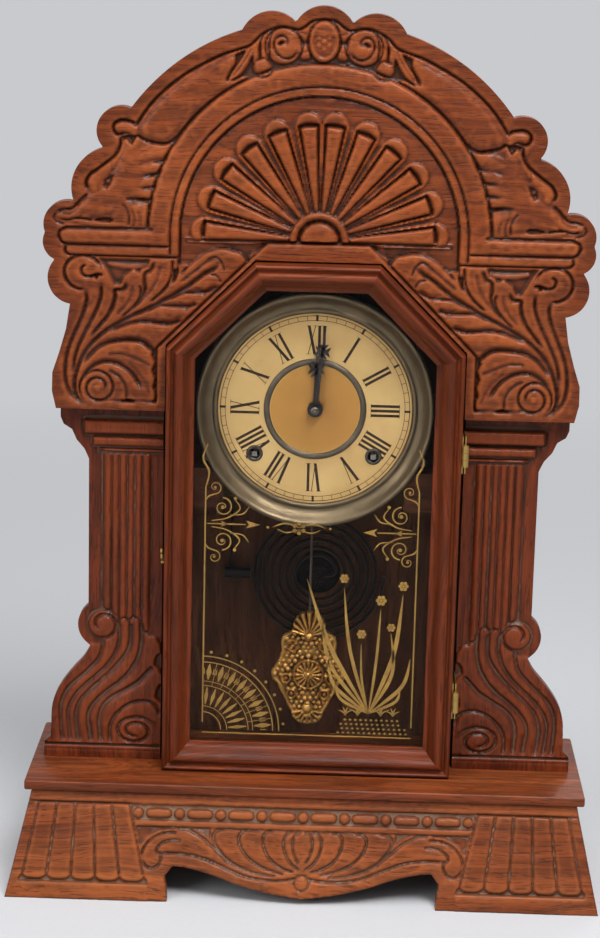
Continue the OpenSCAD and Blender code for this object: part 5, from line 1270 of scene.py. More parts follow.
def carve_pilaster(step):
    """Fluted shaft, stepped capital and flowing foot of the right pilaster."""
    c = Carving.over(PILASTER_IN - 1, 174.0, LEDGE_TOP - 1, PILASTER_TOP + 1, step)
    inside = pilaster_inside(c.X, c.Z)
    c.h[:] = 2.8
    shaft = (c.Z > SHAFT_LOW) & (c.Z < SHAFT_HIGH)
    place = (c.X - FIRST_REED) / REED_PITCH
    off = 2 * np.abs(place % 1 - 0.5)
    c.level(shaft & (place > 0) & (place < REEDS), 0.5 + 2.5 * np.sqrt(np.clip(1 - off ** 2, 0, 1)))
    c.level(shaft & (c.X < FIRST_REED - 0.2), 0.9)
    c.crease(np.where(shaft & (c.Z > 176), c.X, 999) - 135.2, 2.4, 1.0, 1.0)
    c.sink_all(FOOT_HOLLOWS)
    c.cut_all(FOOT_CUTS, ends=0.04)
    c.plate(c.inside(FOOT_TOPS), 2.9, 1.4)
    c.cut([(109.8, 165), (110.8, 169), (113.6, 170.8), (116.4, 169.4), (117.2, 166)], 2.2, 1.2, 0.8)
    c.cut([(117.2, 166), (118, 168.6), (120.4, 170), (123, 168.6), (124, 165)], 2.2, 1.2, 0.8)
    round_volute = np.minimum(c.far(VOLUTE) - 9.4, 0.6 * (c.Z - 150.6))
    c.sink(np.where(c.X > 133, round_volute, -1), 1.5, 1.6)
    c.disc(VOLUTE, 10.2, 3.9, 0.22)
    c.cut(spiral(VOLUTE, 10.8, 9.0, 150, -0.95) + spiral(VOLUTE, 8.8, 3.4, 165, -0.62),
          3.2, 1.2, 1.8, n=0)
    c.disc(LOWER_SCROLL, 14.6, 3.4, 0.3, squeeze=0.76)
    c.cut(spiral(LOWER_SCROLL, 14.4, 4.6, 185, -1.85, squeeze=0.76), 2.6, 1.0, 2.2, n=1)
    for top, low, reach, height in CAPITAL:
        c.level((c.Z > low - 1.2) & (c.Z < top + 1.0) & (c.X < reach + 1.0), 0.6)
        c.plate(inside_all(reach - c.X, inside + 3, c.Z - low, top - c.Z), height, 2.4)
    c.level((c.Z > CAPITAL[0][0]) & (c.Z < PILASTER_TOP), 1.2)
    c.level(c.Z < PLINTH_TOP, 0.8)
    c.uncut(c.Z < PLINTH_TOP)
    c.plate(np.minimum(c.Z - LEDGE_TOP + 3, PLINTH_TOP - 1.2 - c.Z), 3.0, 1.4)
    c.cut([(PILASTER_IN, 79.4), (172, 79.4)], 1.0, 0.7, 0.7, n=0, ends=0)
    c.settle()
    return c


class CLOCK_OT_pilasters(bpy.types.Operator):
    """Carves the two side boards with their capitals, reeds and scrolled feet"""
    bl_idname = "clock.pilasters"
    bl_label = "Carved pilasters"

    def execute(self, context):
        wood = context.scene.clock_wood
        right = carved(carve_pilaster, face_step(wood.carving_step))
        pressed_unevenness(right, 0.08)
        left = Carving(-right.x[::-1], right.z, right.step, right.h[:, ::-1])
        material = oak("carved oak upright", 90.0, carved=1.0, settled=(0.125, 0.062, 0.038),
                       stain=tinted(wood.stain, 0.72, 0.60, 0.62),
                       bright=tinted(wood.bright, 0.66, 0.55, 0.58))
        for name, carving, sign in (("pilaster_right", right, 1), ("pilaster_left", left, -1)):
            piece = carved_board(name + "_carved", carving,
                                 lambda X, Z, s=sign: pilaster_inside(s * X, Z),
                                 BOARD_FRONT + PILASTER_RELIEF, BOARD_BACK, "case", material)
            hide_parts(name)
        return {"FINISHED"}


# Base


BASE_RELIEF = 3.0
BASE_SLOPE = 19.0
BASE_TOP_HALF = 175.0
BASE_BOARD = 10.0
LEAN = atan2(BASE_SLOPE, BASE_TOP)
FLARE = atan2(BASE_HALF - BASE_TOP_HALF, BASE_TOP)
FOOT_IN = 86.1
APRON = [(83, 22.5), (76, 22), (60, 18.5), (42, 12.5), (24, 8), (8, 5.5), (0, 4.5)]
GAP = ([(0, -20), (FOOT_IN, -20), (FOOT_IN, 0), (FOOT_IN + 0.5, 9), (FOOT_IN + 1.8, 16)]
       + [tuple(p) for p in curve_points(APRON, 4)])

# Bead row: its lower and upper edge, its middle and the spacing of its round beads
BEAD_ROW = (50.2, 59.6)
BEAD_MIDDLE, BEAD_PITCH = 54.9, 26.5

# Reeded foot: lower and upper end of the reeds, and their inner and outer edge at both
REED_LOW, REED_HIGH = 12.5, 60.0
REEDS_IN, REEDS_OUT = (100.7, 111.5), (180.0, 170.0)
FOOT_REEDS = 5
BOSS = (0.0, 14.4)


def leaned(points):
    """Upright board points, with the front plane at y = 0, laid back against the base."""
    out = points.copy()
    out[:, 1] = BASE_FRONT + points[:, 1] * cos(LEAN) + points[:, 2] / cos(LEAN) * sin(LEAN)
    out[:, 2] = points[:, 2] - points[:, 1] * sin(LEAN)
    return out


def base_inside(X, Z):
    """Distance inside the base's front, in true heights."""
    A = np.abs(X)
    side = (BASE_HALF - A - Z * tan(FLARE)) * cos(FLARE)
    under = polygon_inside(GAP, A, Z)
    middle = np.where(A < 1.5, 3.5 - Z, under)
    return inside_all(side, Z, BASE_TOP - Z, -np.maximum(under, middle))


PALMETTE_CUTS = [
    ([(1.4, 45.6), (4.6, 44.6), (6.4, 41), (6.4, 36), (5, 30.7), (2.2, 26)], 2.2, 1.0, 1.8),
    ([(5.6, 46), (9.4, 45.2), (12, 41.6), (12.4, 37), (10.6, 31), (7.2, 26), (2.1, 21.9)], 2.3, 1.0, 2.0),
    ([(18.6, 46), (22.8, 45.6), (25.4, 42.8), (25.6, 38), (23.6, 32.4), (19.3, 26.9), (11.6, 22.4),
      (5, 20.6)], 2.4, 1.0, 2.0),
    ([(34, 46), (38.2, 45.6), (40.8, 42.8), (41, 38.4), (38.2, 32.6), (31.4, 26.2), (21, 21.2), (11, 19.2)],
     2.5, 1.0, 2.0),
    ([(49, 46.2), (54, 45.8), (57.2, 43), (57.2, 38.6), (53.6, 32.6), (47, 26.4), (37, 21.4), (26, 18.6),
      (16, 17.8)], 2.6, 1.2, 2.2),
    ([(2, 17.4), (12, 15.6), (23.6, 15.4), (37.9, 17.7), (52.1, 23.4), (66.4, 28.4), (80.7, 30.2),
      (89.6, 30)], 2.4, 2.0, 1.2),
    ([(47, 24.9), (51.4, 29.1), (57.1, 34.1), (64.3, 40.2), (71.4, 44), (76, 45.4), (80, 44.9)],
     2.4, 2.0, 1.2),
    ([(80.6, 43), (86, 42.9), (91.4, 41.8), (97, 38.8), (101.4, 34), (103, 28.4), (101.2, 23.2),
      (97.4, 20.6), (93.2, 22), (90.8, 25.8), (91, 29.6)], 2.5, 1.4, 1.2),
    ([(78, 38.4), (82, 38.8), (86.6, 38.2), (91.4, 35.8), (93.8, 32.4), (92.6, 29.8), (89.6, 29.8)],
     2.4, 1.0, 1.8),
]
PALMETTE_HOLLOWS = [
    ([(58.8, 47), (58.8, 38.4), (63, 41.6), (70, 45.2), (76, 47)], 0.9, 1.4),
    ([(81.5, 47), (83, 44.8), (92, 43.8), (99.6, 39.4), (103.6, 34), (105.4, 27), (112, 47)], 0.9, 1.4),
]


def carve_base(step):
    """The right half of the base's front: reeded foot, bead row and palmette."""
    c = Carving.over(0.0, BASE_HALF + 1, -1.0, BASE_TOP + 1, step)
    inside = base_inside(c.X, c.Z)
    c.h[:] = 2.6
    c.cut_all(PALMETTE_CUTS, ends=0.04)
    c.sink_all(PALMETTE_HOLLOWS)
    c.disc(BOSS, 4.6, 3.2, 0.4)
    c.crease(c.far(BOSS) - 4.7, 2.0, 0.8, 1.2)
    row = (c.Z > BEAD_ROW[0]) & (c.Z < BEAD_ROW[1]) & (c.X < 111)
    c.level(row, 0.7)
    c.uncut(row)
    for i in range(5):
        c.disc((BEAD_PITCH * i, BEAD_MIDDLE), 3.6, 3.3, 0.45)
    for i in range(4):
        mid = BEAD_PITCH * (i + 0.5)
        c.ridge([(mid + x, BEAD_MIDDLE) for x in (-5.4, 0, 5.4)], (6.2, 7.0, 6.2), 3.2)
    c.crease(np.where(c.X < 108, c.Z, 99) - 46.3, 2.2, 1.0, 0.8)
    share = (c.Z - REED_LOW) / (REED_HIGH - REED_LOW)
    inner = REEDS_IN[0] + (REEDS_IN[1] - REEDS_IN[0]) * share
    outer = REEDS_OUT[0] + (REEDS_OUT[1] - REEDS_OUT[0]) * share
    width = (outer - inner) / FOOT_REEDS
    place = (c.X - inner) / width
    off = np.abs(place % 1 - 0.5) * 2
    off = np.where((place < -0.12) | (place > FOOT_REEDS + 0.12), 1.0, off)
    reed = (BASE_RELIEF - 0.5) * round_edge((1 - off) * width / 2 / 2.2)
    ends = np.clip((c.Z - 11.8 - 2.6 * off ** 3) / 1.2, 0, 1) * np.clip((60.2 - c.Z) / 1.0, 0, 1)
    on_foot = (place > -0.1) & (place < FOOT_REEDS + 0.1) & (c.Z > 10) & (c.Z < 61)
    c.level(on_foot, 0.5 + reed * ends)
    c.uncut(on_foot)
    low = inside_all(11.2 - c.Z, c.X - FOOT_IN + 20, inside + 3)
    c.plate(np.where(c.X > 99, low, -1), BASE_RELIEF, 1.4)
    c.level(c.Z > 60.6, BASE_RELIEF)
    c.uncut(c.Z > 60.6)
    c.crease(c.Z - 60.4, 2.0, 0.9, 0.7)
    c.crease(c.Z - 63.9, 0.7, 0.6, 0.6)
    c.crease(inside + 0.4, 1.6, 0.5, 1.6)
    c.settle()
    return c


class CLOCK_OT_base(bpy.types.Operator):
    """Carves the base's front and finishes its sides, rear rail, blocks and ledge"""
    bl_idname = "clock.base"
    bl_label = "Carved base"

    def execute(self, context):
        wood = context.scene.clock_wood
        carving = mirrored(carved(carve_base, face_step(wood.carving_step)))
        pressed_unevenness(carving, 0.08)
        rubbed = oak("rubbed oak", carved=0.9, dusty=0.8, settled=(0.22, 0.130, 0.082),
                     stain=tinted(wood.stain, 1.28, 1.45, 1.60),
                     bright=tinted(wood.bright, 1.20, 1.38, 1.60))
        piece = carved_board("base_carved", carving, base_inside, BASE_RELIEF, BASE_BOARD, "case",
                             rubbed, lean=leaned, floor=(0.0, BASE_TOP))
        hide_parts("base_front")
        ledge = eased_board("ledge_board", "ledge", 1.6, oak_boards())
        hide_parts("ledge")
        cad_finish(oak("oak side boards", deep=True), "base_side_left", "base_side_right")
        cad_finish(pine(), "base_rear_rail", "glue_blocks")
        return {"FINISHED"}


# Door


def door_points(d):
    """The door's outline drawn inward by d, from the lower left corner round to the left."""
    k = d * tan(radians(22.5))
    top_half = DOOR_HALF - (DOOR_TOP - DOOR_SHOULDER)
    return [(d - DOOR_HALF, DOOR_LOW + d), (DOOR_HALF - d, DOOR_LOW + d),
            (DOOR_HALF - d, DOOR_SHOULDER - k), (top_half - k, DOOR_TOP - d),
            (k - top_half, DOOR_TOP - d), (d - DOOR_HALF, DOOR_SHOULDER - k)]


# Moulding: distance from the outer edge and depth behind the door's front
MOULDING = [(0, 19), (0, 2.3), (0.25, 1.3), (0.8, 0.6), (1.6, 0.35), (2.4, 0.75), (2.85, 1.6),
            (3.2, 2.6), (3.7, 2.95), (4.4, 3.0), (4.9, 2.6), (5.1, 1.7), (5.6, 0.9), (6.4, 0.3),
            (7.4, 0.0), (8.5, 0.15), (9.6, 0.75), (10.6, 1.7), (11.6, 3.0), (12.5, 4.5), (13.3, 6.0),
            (14.1, 7.4), (14.9, 8.4), (15.8, 9.0), (16.7, 9.3), (17.3, 9.5), (17.5, 9.8), (17.5, 11.5),
            (12.5, 11.5), (12.5, 19)]

# The door's nodes, each with the sides of its outline that it covers and the run of its grain
MEMBERS = [("door_rail_bottom", {0: 0.0}), ("door_stile_right", {1: 90.0}), ("door_rail_top", {3: 0.0}),
           ("door_braces", {2: -45.0, 4: 45.0}), ("door_stile_left", {5: 90.0})]


def moulded_member(i, parts=24):
    """One mitred length of the door's moulding, as (vertices, faces)."""
    vertices, faces = [], []
    count = len(MOULDING)
    for s in range(parts + 1):
        t = s / parts
        for w, depth in MOULDING:
            a, b = door_points(w)[i], door_points(w)[(i + 1) % 6]
            worn = 0.10 * sin(9 * t + i) * (1 - abs(2 * t - 1)) if 1 < w < 17 and depth < 10 else 0
            vertices.append((a[0] + (b[0] - a[0]) * t, DOOR_FRONT + depth + max(worn, 0),
                             a[1] + (b[1] - a[1]) * t))
    for s in range(parts):
        for k in range(count):
            a, b = s * count + k, s * count + (k + 1) % count
            faces.append((a, a + count, b + count, b))
    faces.append(tuple(range(count)))
    faces.append(tuple(parts * count + k for k in range(count - 1, -1, -1)))
    return vertices, faces


class CLOCK_OT_door(bpy.types.Operator):
    """Moulds the six sides of the door and finishes its hinges and catch"""
    bl_idname = "clock.door"
    bl_label = "Door"

    def execute(self, context):
        wood = context.scene.clock_wood

        def door_oak(turn):
            return oak("door oak %d" % round(turn), turn, stain=wood.door, bright=wood.door_bright,
                       size=0.8, rough=0.34, coat=0.10)
        for node, lengths in MEMBERS:
            for i, turn in lengths.items():
                vertices, faces = moulded_member(i)
                name = node + "_moulded" + ("_%d" % i if len(lengths) > 1 else "")
                piece = put(name, vertices, faces, "door", door_oak(turn))
                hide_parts(node)
        cad_finish(door_oak(0.0), "glass_beads")
        cad_finish(metal("yellow brass", (0.46, 0.30, 0.095), rough=0.32, amount=0.4), "hinge_leaves_door",
                   "hinge_leaves_case", "catch_hook", "catch_screw", "catch_pin")
        return {"FINISHED"}


# Pane


# Gilt on the pane: its side and lower borders, the height where the sides curl in, the flower,
# the corner of the fan and the root of the spray
BORDER_X, BORDER_Z, SHOULDER_Z = 68.0, 97.0, 262.0
FLOWER = (-8.0, 236.5)
FAN_CORNER = (-68.0, 99.0)
SPRAY_ROOT = (40.0, 113.0)

# Blades of the spray: tip, bend to the side and width
BLADES = [((-2, 203), -5, 2.9), ((8, 176), -9, 2.5), ((22, 198), -4, 2.3), ((60, 194), 5, 2.9),
          ((53, 168), 8, 2.4), ((13, 150), -9, 2.4), ((66, 151), 8, 2.5), ((34, 160), -2, 1.5),
          ((46, 184), 1, 1.8), ((60, 130), 7, 2.0), ((18, 130), -6, 2.0)]
BLOSSOMS = [(34, 167, 2.1), (46, 190, 2.4), (22, 204, 2.1), (60, 200, 2.2), (53, 172, 1.9)]
TUFTS = [(25, 6), (33, 7.5), (48, 7.5), (56, 6)]


def frond(flat, root, tip, bend, width):
    """A long blade that rises from root to tip."""
    mid = ((root[0] + tip[0]) / 2 + bend, (root[1] + tip[1]) / 2)
    flat.line([root, mid, tip], 0.4, width, width * 0.9, 0.3, n=10)


def scroll_bracket(flat, x, z, sign):
    """Curled gilt bracket beside the dial's foot."""
    def at(dx, dz):
        return (x + sign * dx, z + dz)
    for lift in (1, -1):
        centre = at(9, 11 * lift)
        curl = spiral((0, 0), 6.4, 1.6, 90, -1.3)
        flat.line([(centre[0] + sign * px, centre[1] + lift * pz) for px, pz in curl], 0.9, 0.5, n=1)
        flat.dot(centre, 1.2)
        flat.line([at(2, 2 * lift), at(12, 4 * lift), at(20, 10 * lift), at(17, 16 * lift)],
                  0.5, 1.1, 0.4)
        flat.dot(at(17, 17 * lift), 1.1)
        flat.line([at(14, 6 * lift), at(22, 7 * lift), at(26, 12 * lift)], 0.4, 0.9, 0.3)
    flat.line([at(-1, 0), at(12, 0), at(24, 0)], 0.6, 1.0, 0.6)
    flat.shape([at(24, 2.6), at(33, 0), at(24, -2.6), at(26, 0)])
    flat.shape([at(8, 1.9), at(13, 0), at(8, -1.9), at(9.2, 0)])


def gilt_borders(g):
    """Lines at the sides and the foot, with the flower and its leaves between the brackets."""
    for s in (-1, 1):
        x = s * BORDER_X
        g.line([(x, 104), (x, 180), (x, SHOULDER_Z)], 0.9, 0.9, 0.9, n=2)
        g.line([(x, SHOULDER_Z), (s * 66, 272), (s * 70, 281), (s * 67, 290)], 0.7, 1.3, 0.5)
    g.line([(-BORDER_X, BORDER_Z), (0, BORDER_Z), (BORDER_X, BORDER_Z)], 0.8, 0.8, n=2)
    scroll_bracket(g, -66, 238, 1)
    scroll_bracket(g, 66, 235, -1)
    x = FLOWER[0]
    for s in (-1, 1):
        g.line([(x, 237), (x + 9 * s, 239.5), (x + 17 * s, 236.8)], 0.5, 1.3, 0.3)
        g.line([(x, 235.5), (x + 8 * s, 233.5), (x + 14 * s, 235.8)], 0.4, 1.0, 0.3)
        g.dot((x + 20 * s, 236.6), 0.8)
    for k in range(6):
        g.dot(polar(FLOWER, 3.2, radians(60 * k + 30)), 1.3)


def gilt_corner_fan(g):
    """Quarter fan of rings and leaves in the lower left corner."""
    for r, w in ((50, 0.7), (46, 0.7), (33, 0.5), (30, 0.5), (16, 0.5), (12, 0.6)):
        g.line(arc(FAN_CORNER, r, 0, 90, 24), w, w, n=1)
    for k in range(8):
        a = radians(90 * (k + 0.5) / 8)
        for r0, r1, w in ((34, 45, 3.4), (17, 29, 2.4)):
            g.line([polar(FAN_CORNER, r, a) for r in (r0, (r0 + r1) / 2, r1)], 0.4, w, 0.4, n=4)
        for side in (-1, 1):
            g.line([polar(FAN_CORNER, r, a + side * 0.075) for r in (38, 42)], 0.9, 0.4, n=0)
        g.dot(polar(FAN_CORNER, 53, a), 1.0)
    for k in range(1, 8):
        g.line([polar(FAN_CORNER, r, radians(90 * k / 8)) for r in (30, 46)], 0.4, 0.4, n=0)


def gilt_spray(g):
    """Spray of blades with blossoms, over a bed of small diamonds and tufts."""
    for tip, bend, width in BLADES:
        frond(g, SPRAY_ROOT, tip, bend, width)
    for x, z, r in BLOSSOMS:
        for k in range(6):
            g.dot(polar((x, z), r, radians(60 * k)), 0.52 * r, n=10)
        g.dot((x, z), 0.42 * r, n=8)
    for row in range(4):
        for k in range(14 - row):
            x, z = 20.5 + 3.4 * k + 1.7 * (row % 2) + 0.9 * row, 99.6 + 3.0 * row
            g.shape([(x - 1.1, z), (x, z - 0.9), (x + 1.1, z), (x, z + 0.9)])
    for x, size in TUFTS:
        foot = (x, 111.5)
        for lean in (-0.9, -0.3, 0.3, 0.9):
            knee = (x + 0.3 * size * sin(lean), foot[1] + 0.6 * size * cos(lean))
            g.line([foot, knee, polar(foot, size, pi / 2 - lean)], 0.7, 1.0, 0.25, n=4)


def gilt_ornament():
    """Borders, brackets, corner fan and leaf spray of the pane."""
    g = Flat()
    gilt_borders(g)
    gilt_corner_fan(g)
    gilt_spray(g)
    curl = spiral((0, 0), 4.4, 1.2, -90, 1.1)
    for s in (-1, 1):
        for x, z, turn in ((62, 216, -1), (62, SHOULDER_Z, 1)):
            g.line([(s * (x - px), z + turn * pz) for px, pz in curl], 0.8, 0.4, n=1)
            g.line([(s * BORDER_X, z - 9 * turn), (s * 66, z - 6 * turn), (s * x, z - 4.4 * turn)],
                   0.4, 1.1, 0.8, n=4)
            g.dot((s * x, z), 0.9)
    return g


class CLOCK_OT_pane(bpy.types.Operator):
    """Glazes the door and lays the gilt ornament on the back of the pane"""
    bl_idname = "clock.pane"
    bl_label = "Pane and gilt"

    def execute(self, context):
        cad_finish(clear_glass("pane"), "door_glass")
        gilt = metal("gilt", context.scene.clock_dial.gilt, rough=0.42, tarnish=(0.20, 0.095, 0.020),
                     amount=0.6, scale=160.0, metallic=0.3)
        gilt_ornament().piece("gilt_ornament", GLASS_BACK + 0.02, 0.04, "door", gilt, "brass")
        return {"FINISHED"}


# Dial


NUMERALS = ["XII", "I", "II", "III", "IIII", "V", "VI", "VII", "VIII", "IX", "X", "XI"]
ADVANCE = {"I": 3.1, "V": 6.6, "X": 6.4}
SERIF = 0.32
WINDING_HOLE = (38.0, -30.0)

# Turned parts of the dial: distance from their axis and height over the paper
PAN = [(0.5, -0.8), (0.5, 0), (61.9, 0), (62.1, 0.5), (62.4, 1.25), (62.9, 1.65), (63.6, 1.85),
       (64.4, 1.8), (65.0, 1.3), (65.5, 0.95), (66.3, 0.95), (67.2, 1.25), (68.4, 1.95), (69.8, 3.0),
       (71.2, 4.4), (72.4, 5.8), (73.3, 6.7), (74.1, 7.0), (75.0, 6.85), (75.7, 6.3), (76.0, 5.4),
       (76.0, -1.0), (75.2, -1.0), (75.2, 5.2), (74.0, 6.1), (71, 2.8), (67.4, 0.2), (63.4, -0.8)]
TRIM_RING = [(28.9, 0.0), (29.1, 0.55), (29.7, 1.0), (30.6, 1.25), (31.4, 1.2), (32.2, 0.85),
             (32.7, 0.4), (32.8, 0.0)]
GROMMET = [(3.5, -1.2), (3.4, 0.5), (3.8, 0.85), (4.5, 0.9), (5.1, 0.6), (5.4, 0.0), (4.15, 0.0),
           (4.1, -1.2)]


def numeral(flat, text, turn, foot, height):
    """One numeral with its foot toward the middle of the dial, turn degrees clockwise."""
    a = radians(turn)

    def at(x, z):
        up = foot + z
        return (x * cos(a) + up * sin(a), DIAL - x * sin(a) + up * cos(a))

    def bar(x0, x1, thick):
        flat.shape([at(x0 - thick / 2, 0), at(x0 + thick / 2, 0), at(x1 + thick / 2, height),
                    at(x1 - thick / 2, height)])

    def serif(x, z, half):
        flat.shape([at(x - half, z), at(x + half, z), at(x + half, z + SERIF), at(x - half, z + SERIF)])

    top = height - SERIF
    left = -sum(ADVANCE[letter] for letter in text) / 2
    for letter in text:
        x = left + ADVANCE[letter] / 2
        left += ADVANCE[letter]
        if letter == "I":
            bar(x, x, 1.75)
            serif(x, 0, 1.5)
            serif(x, top, 1.5)
        elif letter == "V":
            bar(x + 0.5, x - 2.1, 1.85)
            bar(x + 0.5, x + 2.5, 0.5)
            serif(x - 2.1, top, 1.6)
            serif(x + 2.4, top, 1.1)
        else:
            bar(x + 2.0, x - 2.0, 1.85)
            bar(x - 2.2, x + 2.2, 0.5)
            for z in (0, top):
                serif(x - 2.0, z, 1.3)
                serif(x + 2.0, z, 1.3)


def dial_print(foot, height):
    """Numerals, minute track and the printed rings."""
    f = Flat()
    for h, text in enumerate(NUMERALS):
        numeral(f, text, 30 * h, foot, height)
    for r, w in ((60.3, 0.45), (57.3, 0.35)):
        f.line(arc((0.0, DIAL), r, 0, 360, 180), w, w, n=0)
    for m in range(60):
        low, high, w = (57.3, 60.3, 0.32) if m % 5 else (56.9, 60.8, 1.5)
        a = radians(6 * m)
        f.line([(r * sin(a), DIAL + r * cos(a)) for r in (low, high)], w, w, n=0)
    return f


class CLOCK_OT_dial(bpy.types.Operator):
    """Prints the paper dial and turns its pan, ring and grommets"""
    bl_idname = "clock.dial"
    bl_label = "Dial"

    def execute(self, context):
        dial = context.scene.clock_dial
        ink = plain("printer's ink", tuple(dial.ink), rough=0.55, second=(0.05, 0.03, 0.02), scale=300.0)
        dial_print(dial.numeral_foot / MM, dial.numeral_height / MM).piece(
            "dial_print", PAPER_FRONT - 0.06, 0.05, "case", ink, "paper")
        cad_finish(aged_paper("dial paper", dial.paper, dial.paper_centre), "dial_paper")
        rim = metal("worn nickel", dial.rim, rough=0.30, tarnish=(0.10, 0.075, 0.045), amount=0.7,
                    scale=45.0)
        pan = lathe("dial_pan_spun", PAN, (0.0, DIAL), PAPER_FRONT + 0.3, "case", rim,
                    turns=160)
        bore_dial(pan)
        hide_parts("dial_pan")
        grey = metal("grey ring metal", (0.16, 0.13, 0.10), rough=0.38, amount=0.5, scale=70.0)
        piece = lathe("dial_trim_ring", TRIM_RING, (0.0, DIAL), PAPER_FRONT, "case", grey)
        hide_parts("dial_trim")
        dark = metal("dark grommet metal", (0.10, 0.085, 0.07), rough=0.4)
        for i, side in enumerate((-1, 1)):
            centre = (side * WINDING_HOLE[0], DIAL + WINDING_HOLE[1])
            piece = lathe("dial_trim_grommet_%d" % i, GROMMET, centre, PAPER_FRONT, "case", dark,
                          turns=48)
            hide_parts("dial_trim")
        return {"FINISHED"}


def bore_dial(pan):
    """Leaves the flat of the spun pan out behind the paper, where its holes would be."""
    build = bmesh.new()
    build.from_mesh(pan.data)
    flat = [f for f in build.faces
            if all(hypot(v.co.x, v.co.z - DIAL * MM) < 62.5 * MM for v in f.verts)
            and max(v.co.y for v in f.verts) - min(v.co.y for v in f.verts) < 0.2 * MM]
    bmesh.ops.delete(build, geom=flat, context="FACES")
    build.to_mesh(pan.data)
    build.free()


def cross_hand(length, boss, turn, arm):
    """A straight hand with a four armed cross before its tip."""
    f = Flat()
    a = radians(turn)

    def at(x, z):
        return (x * cos(a) + z * sin(a), DIAL - x * sin(a) + z * cos(a))

    mid = length * 0.70
    f.shape([at(*polar((0, 0), boss, radians(t))) for t in range(0, 360, 10)])
    f.shape([at(-1.45, boss * 0.7), at(1.45, boss * 0.7), at(0.85, mid), at(-0.85, mid)])
    for k in range(4):
        b = radians(90 * k)
        tip = [(-0.7, 0.6), (0.7, 0.6), (arm * 0.48, arm * 0.72), (arm * 0.2, arm * 0.62),
               (0, arm * 0.5), (-arm * 0.2, arm * 0.62), (-arm * 0.48, arm * 0.72)]
        f.shape([at(x * cos(b) - z * sin(b), mid + x * sin(b) + z * cos(b)) for x, z in tip])
    f.shape([at(-1.0, mid), at(1.0, mid), at(0.25, length), at(-0.25, length)])
    return f


class CLOCK_OT_hands(bpy.types.Operator):
    """Cuts the two dark hands and finishes their nut"""
    bl_idname = "clock.hands"
    bl_label = "Hands"

    def execute(self, context):
        for node, length, boss, turn, arm, body in (("hour_hand", 38, 4.8, 0.5, 7.5, "hour"),
                                                    ("minute_hand", 55, 4.2, 6.0, 7.0, "centre")):
            front, back = face_y(node), face_y(node, 1)
            piece = cross_hand(length, boss, turn, arm).piece(
                node + "_cut", front + 0.05, back - front - 0.1, body, blackened_steel(), "blued_steel")
            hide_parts(node)
        cad_finish(metal("worn nut", (0.16, 0.145, 0.125), rough=0.35), "hand_nut")
        return {"FINISHED"}


# Pendulum


BOB = [(0, -39), (6, -38), (9.5, -34.5), (11, -30), (13.5, -26), (15.5, -21), (18.5, -16.5),
       (20.5, -11.5), (24, -8), (25, -3.5), (22, 1.5), (19.5, 6.5), (18, 12), (18.6, 17), (17.5, 21.5),
       (13, 24.6), (10.6, 26.6), (11, 30), (8.6, 34.6), (4.6, 38), (0, 39)]
BOB_OUTLINE = BOB + [(-x, z) for x, z in BOB[-2:0:-1]]
BOB_STEP = 0.45

# Motifs of the bob: small rosettes with their radius, its flower, its shell and the leaf at its foot
ROSETTES = [(10.6, 15.4, 4.2), (14.6, -7.0, 3.6), (10.8, -17.6, 3.6)]
BOB_FLOWER = (0.0, -4.0)
SHELL = (0.0, 22.5)
FOOT_LEAF = (0.0, -28.0)


def ray(c, centre, angle, first, last, widths, top, n=0, squeeze=1.0):
    """A ridge that runs outward from a centre, at an angle in degrees."""
    a = radians(angle)
    c.ridge([polar(centre, first, a), polar(centre, last, a, squeeze)], widths, top, n=n)


def carve_bob(step):
    """The right half of the bob: bosses, rosettes, flower, shell and leaf on a domed ground."""
    c = Carving.over(0.0, 24.5, -40.0, 40.0, step)
    c.plate(c.inside(BOB_OUTLINE), 1.7, 2.4)
    for k in range(20):
        for j in range(7):
            spot = (3.7 * (j + 0.5 * (k % 2)) + 0.5 * sin(5 * k + j),
                    -36.5 + 3.15 * k + 0.5 * sin(3 * j + k))
            if polygon_inside(BOB_OUTLINE, *np.array(spot).reshape(2, 1))[0] > 2.6:
                c.disc(spot, 1.5 + 0.2 * ((2 * j + k) % 3), 2.7 + 0.6 * ((j + 2 * k) % 3), 0.5)
    for x, z in curve_points(BOB, 3):
        c.disc((x * 0.93, z * 0.965), 1.5, 2.9)
    for x, z, r in ROSETTES:
        c.disc((x, z), r - 0.4, 2.2, 0.2)
        c.ring((x, z), r - 0.6, 1.7, 4.4)
        c.disc((x, z), 1.5, 4.4)
    c.disc(BOB_FLOWER, 10.4, 3.2, 0.25)
    c.ring(BOB_FLOWER, 9.6, 1.8, 4.6)
    for k in range(9):
        ray(c, BOB_FLOWER, -90 + 22.5 * k, 2.2, 7.8, (1.6, 2.8), 4.9)
    c.disc(BOB_FLOWER, 2.6, 5.6)
    c.sink(np.where(c.Z > 25, 4.2 - np.abs(12 - c.far(SHELL)), -1), 1.2)
    for k in range(5):
        ray(c, SHELL, 90 - 19 * k, 2.6, 14.6, (1.4, 4.4), 4.4, n=6, squeeze=15.6 / 14.6)
    c.disc((0, 21.5), 3.4, 5.0)
    c.disc(FOOT_LEAF, 4.4, 4.4)
    for k in range(4):
        ray(c, FOOT_LEAF, -90 + 24 * k, 4, 9.6, (1.6, 3.2), 3.8)
    return c


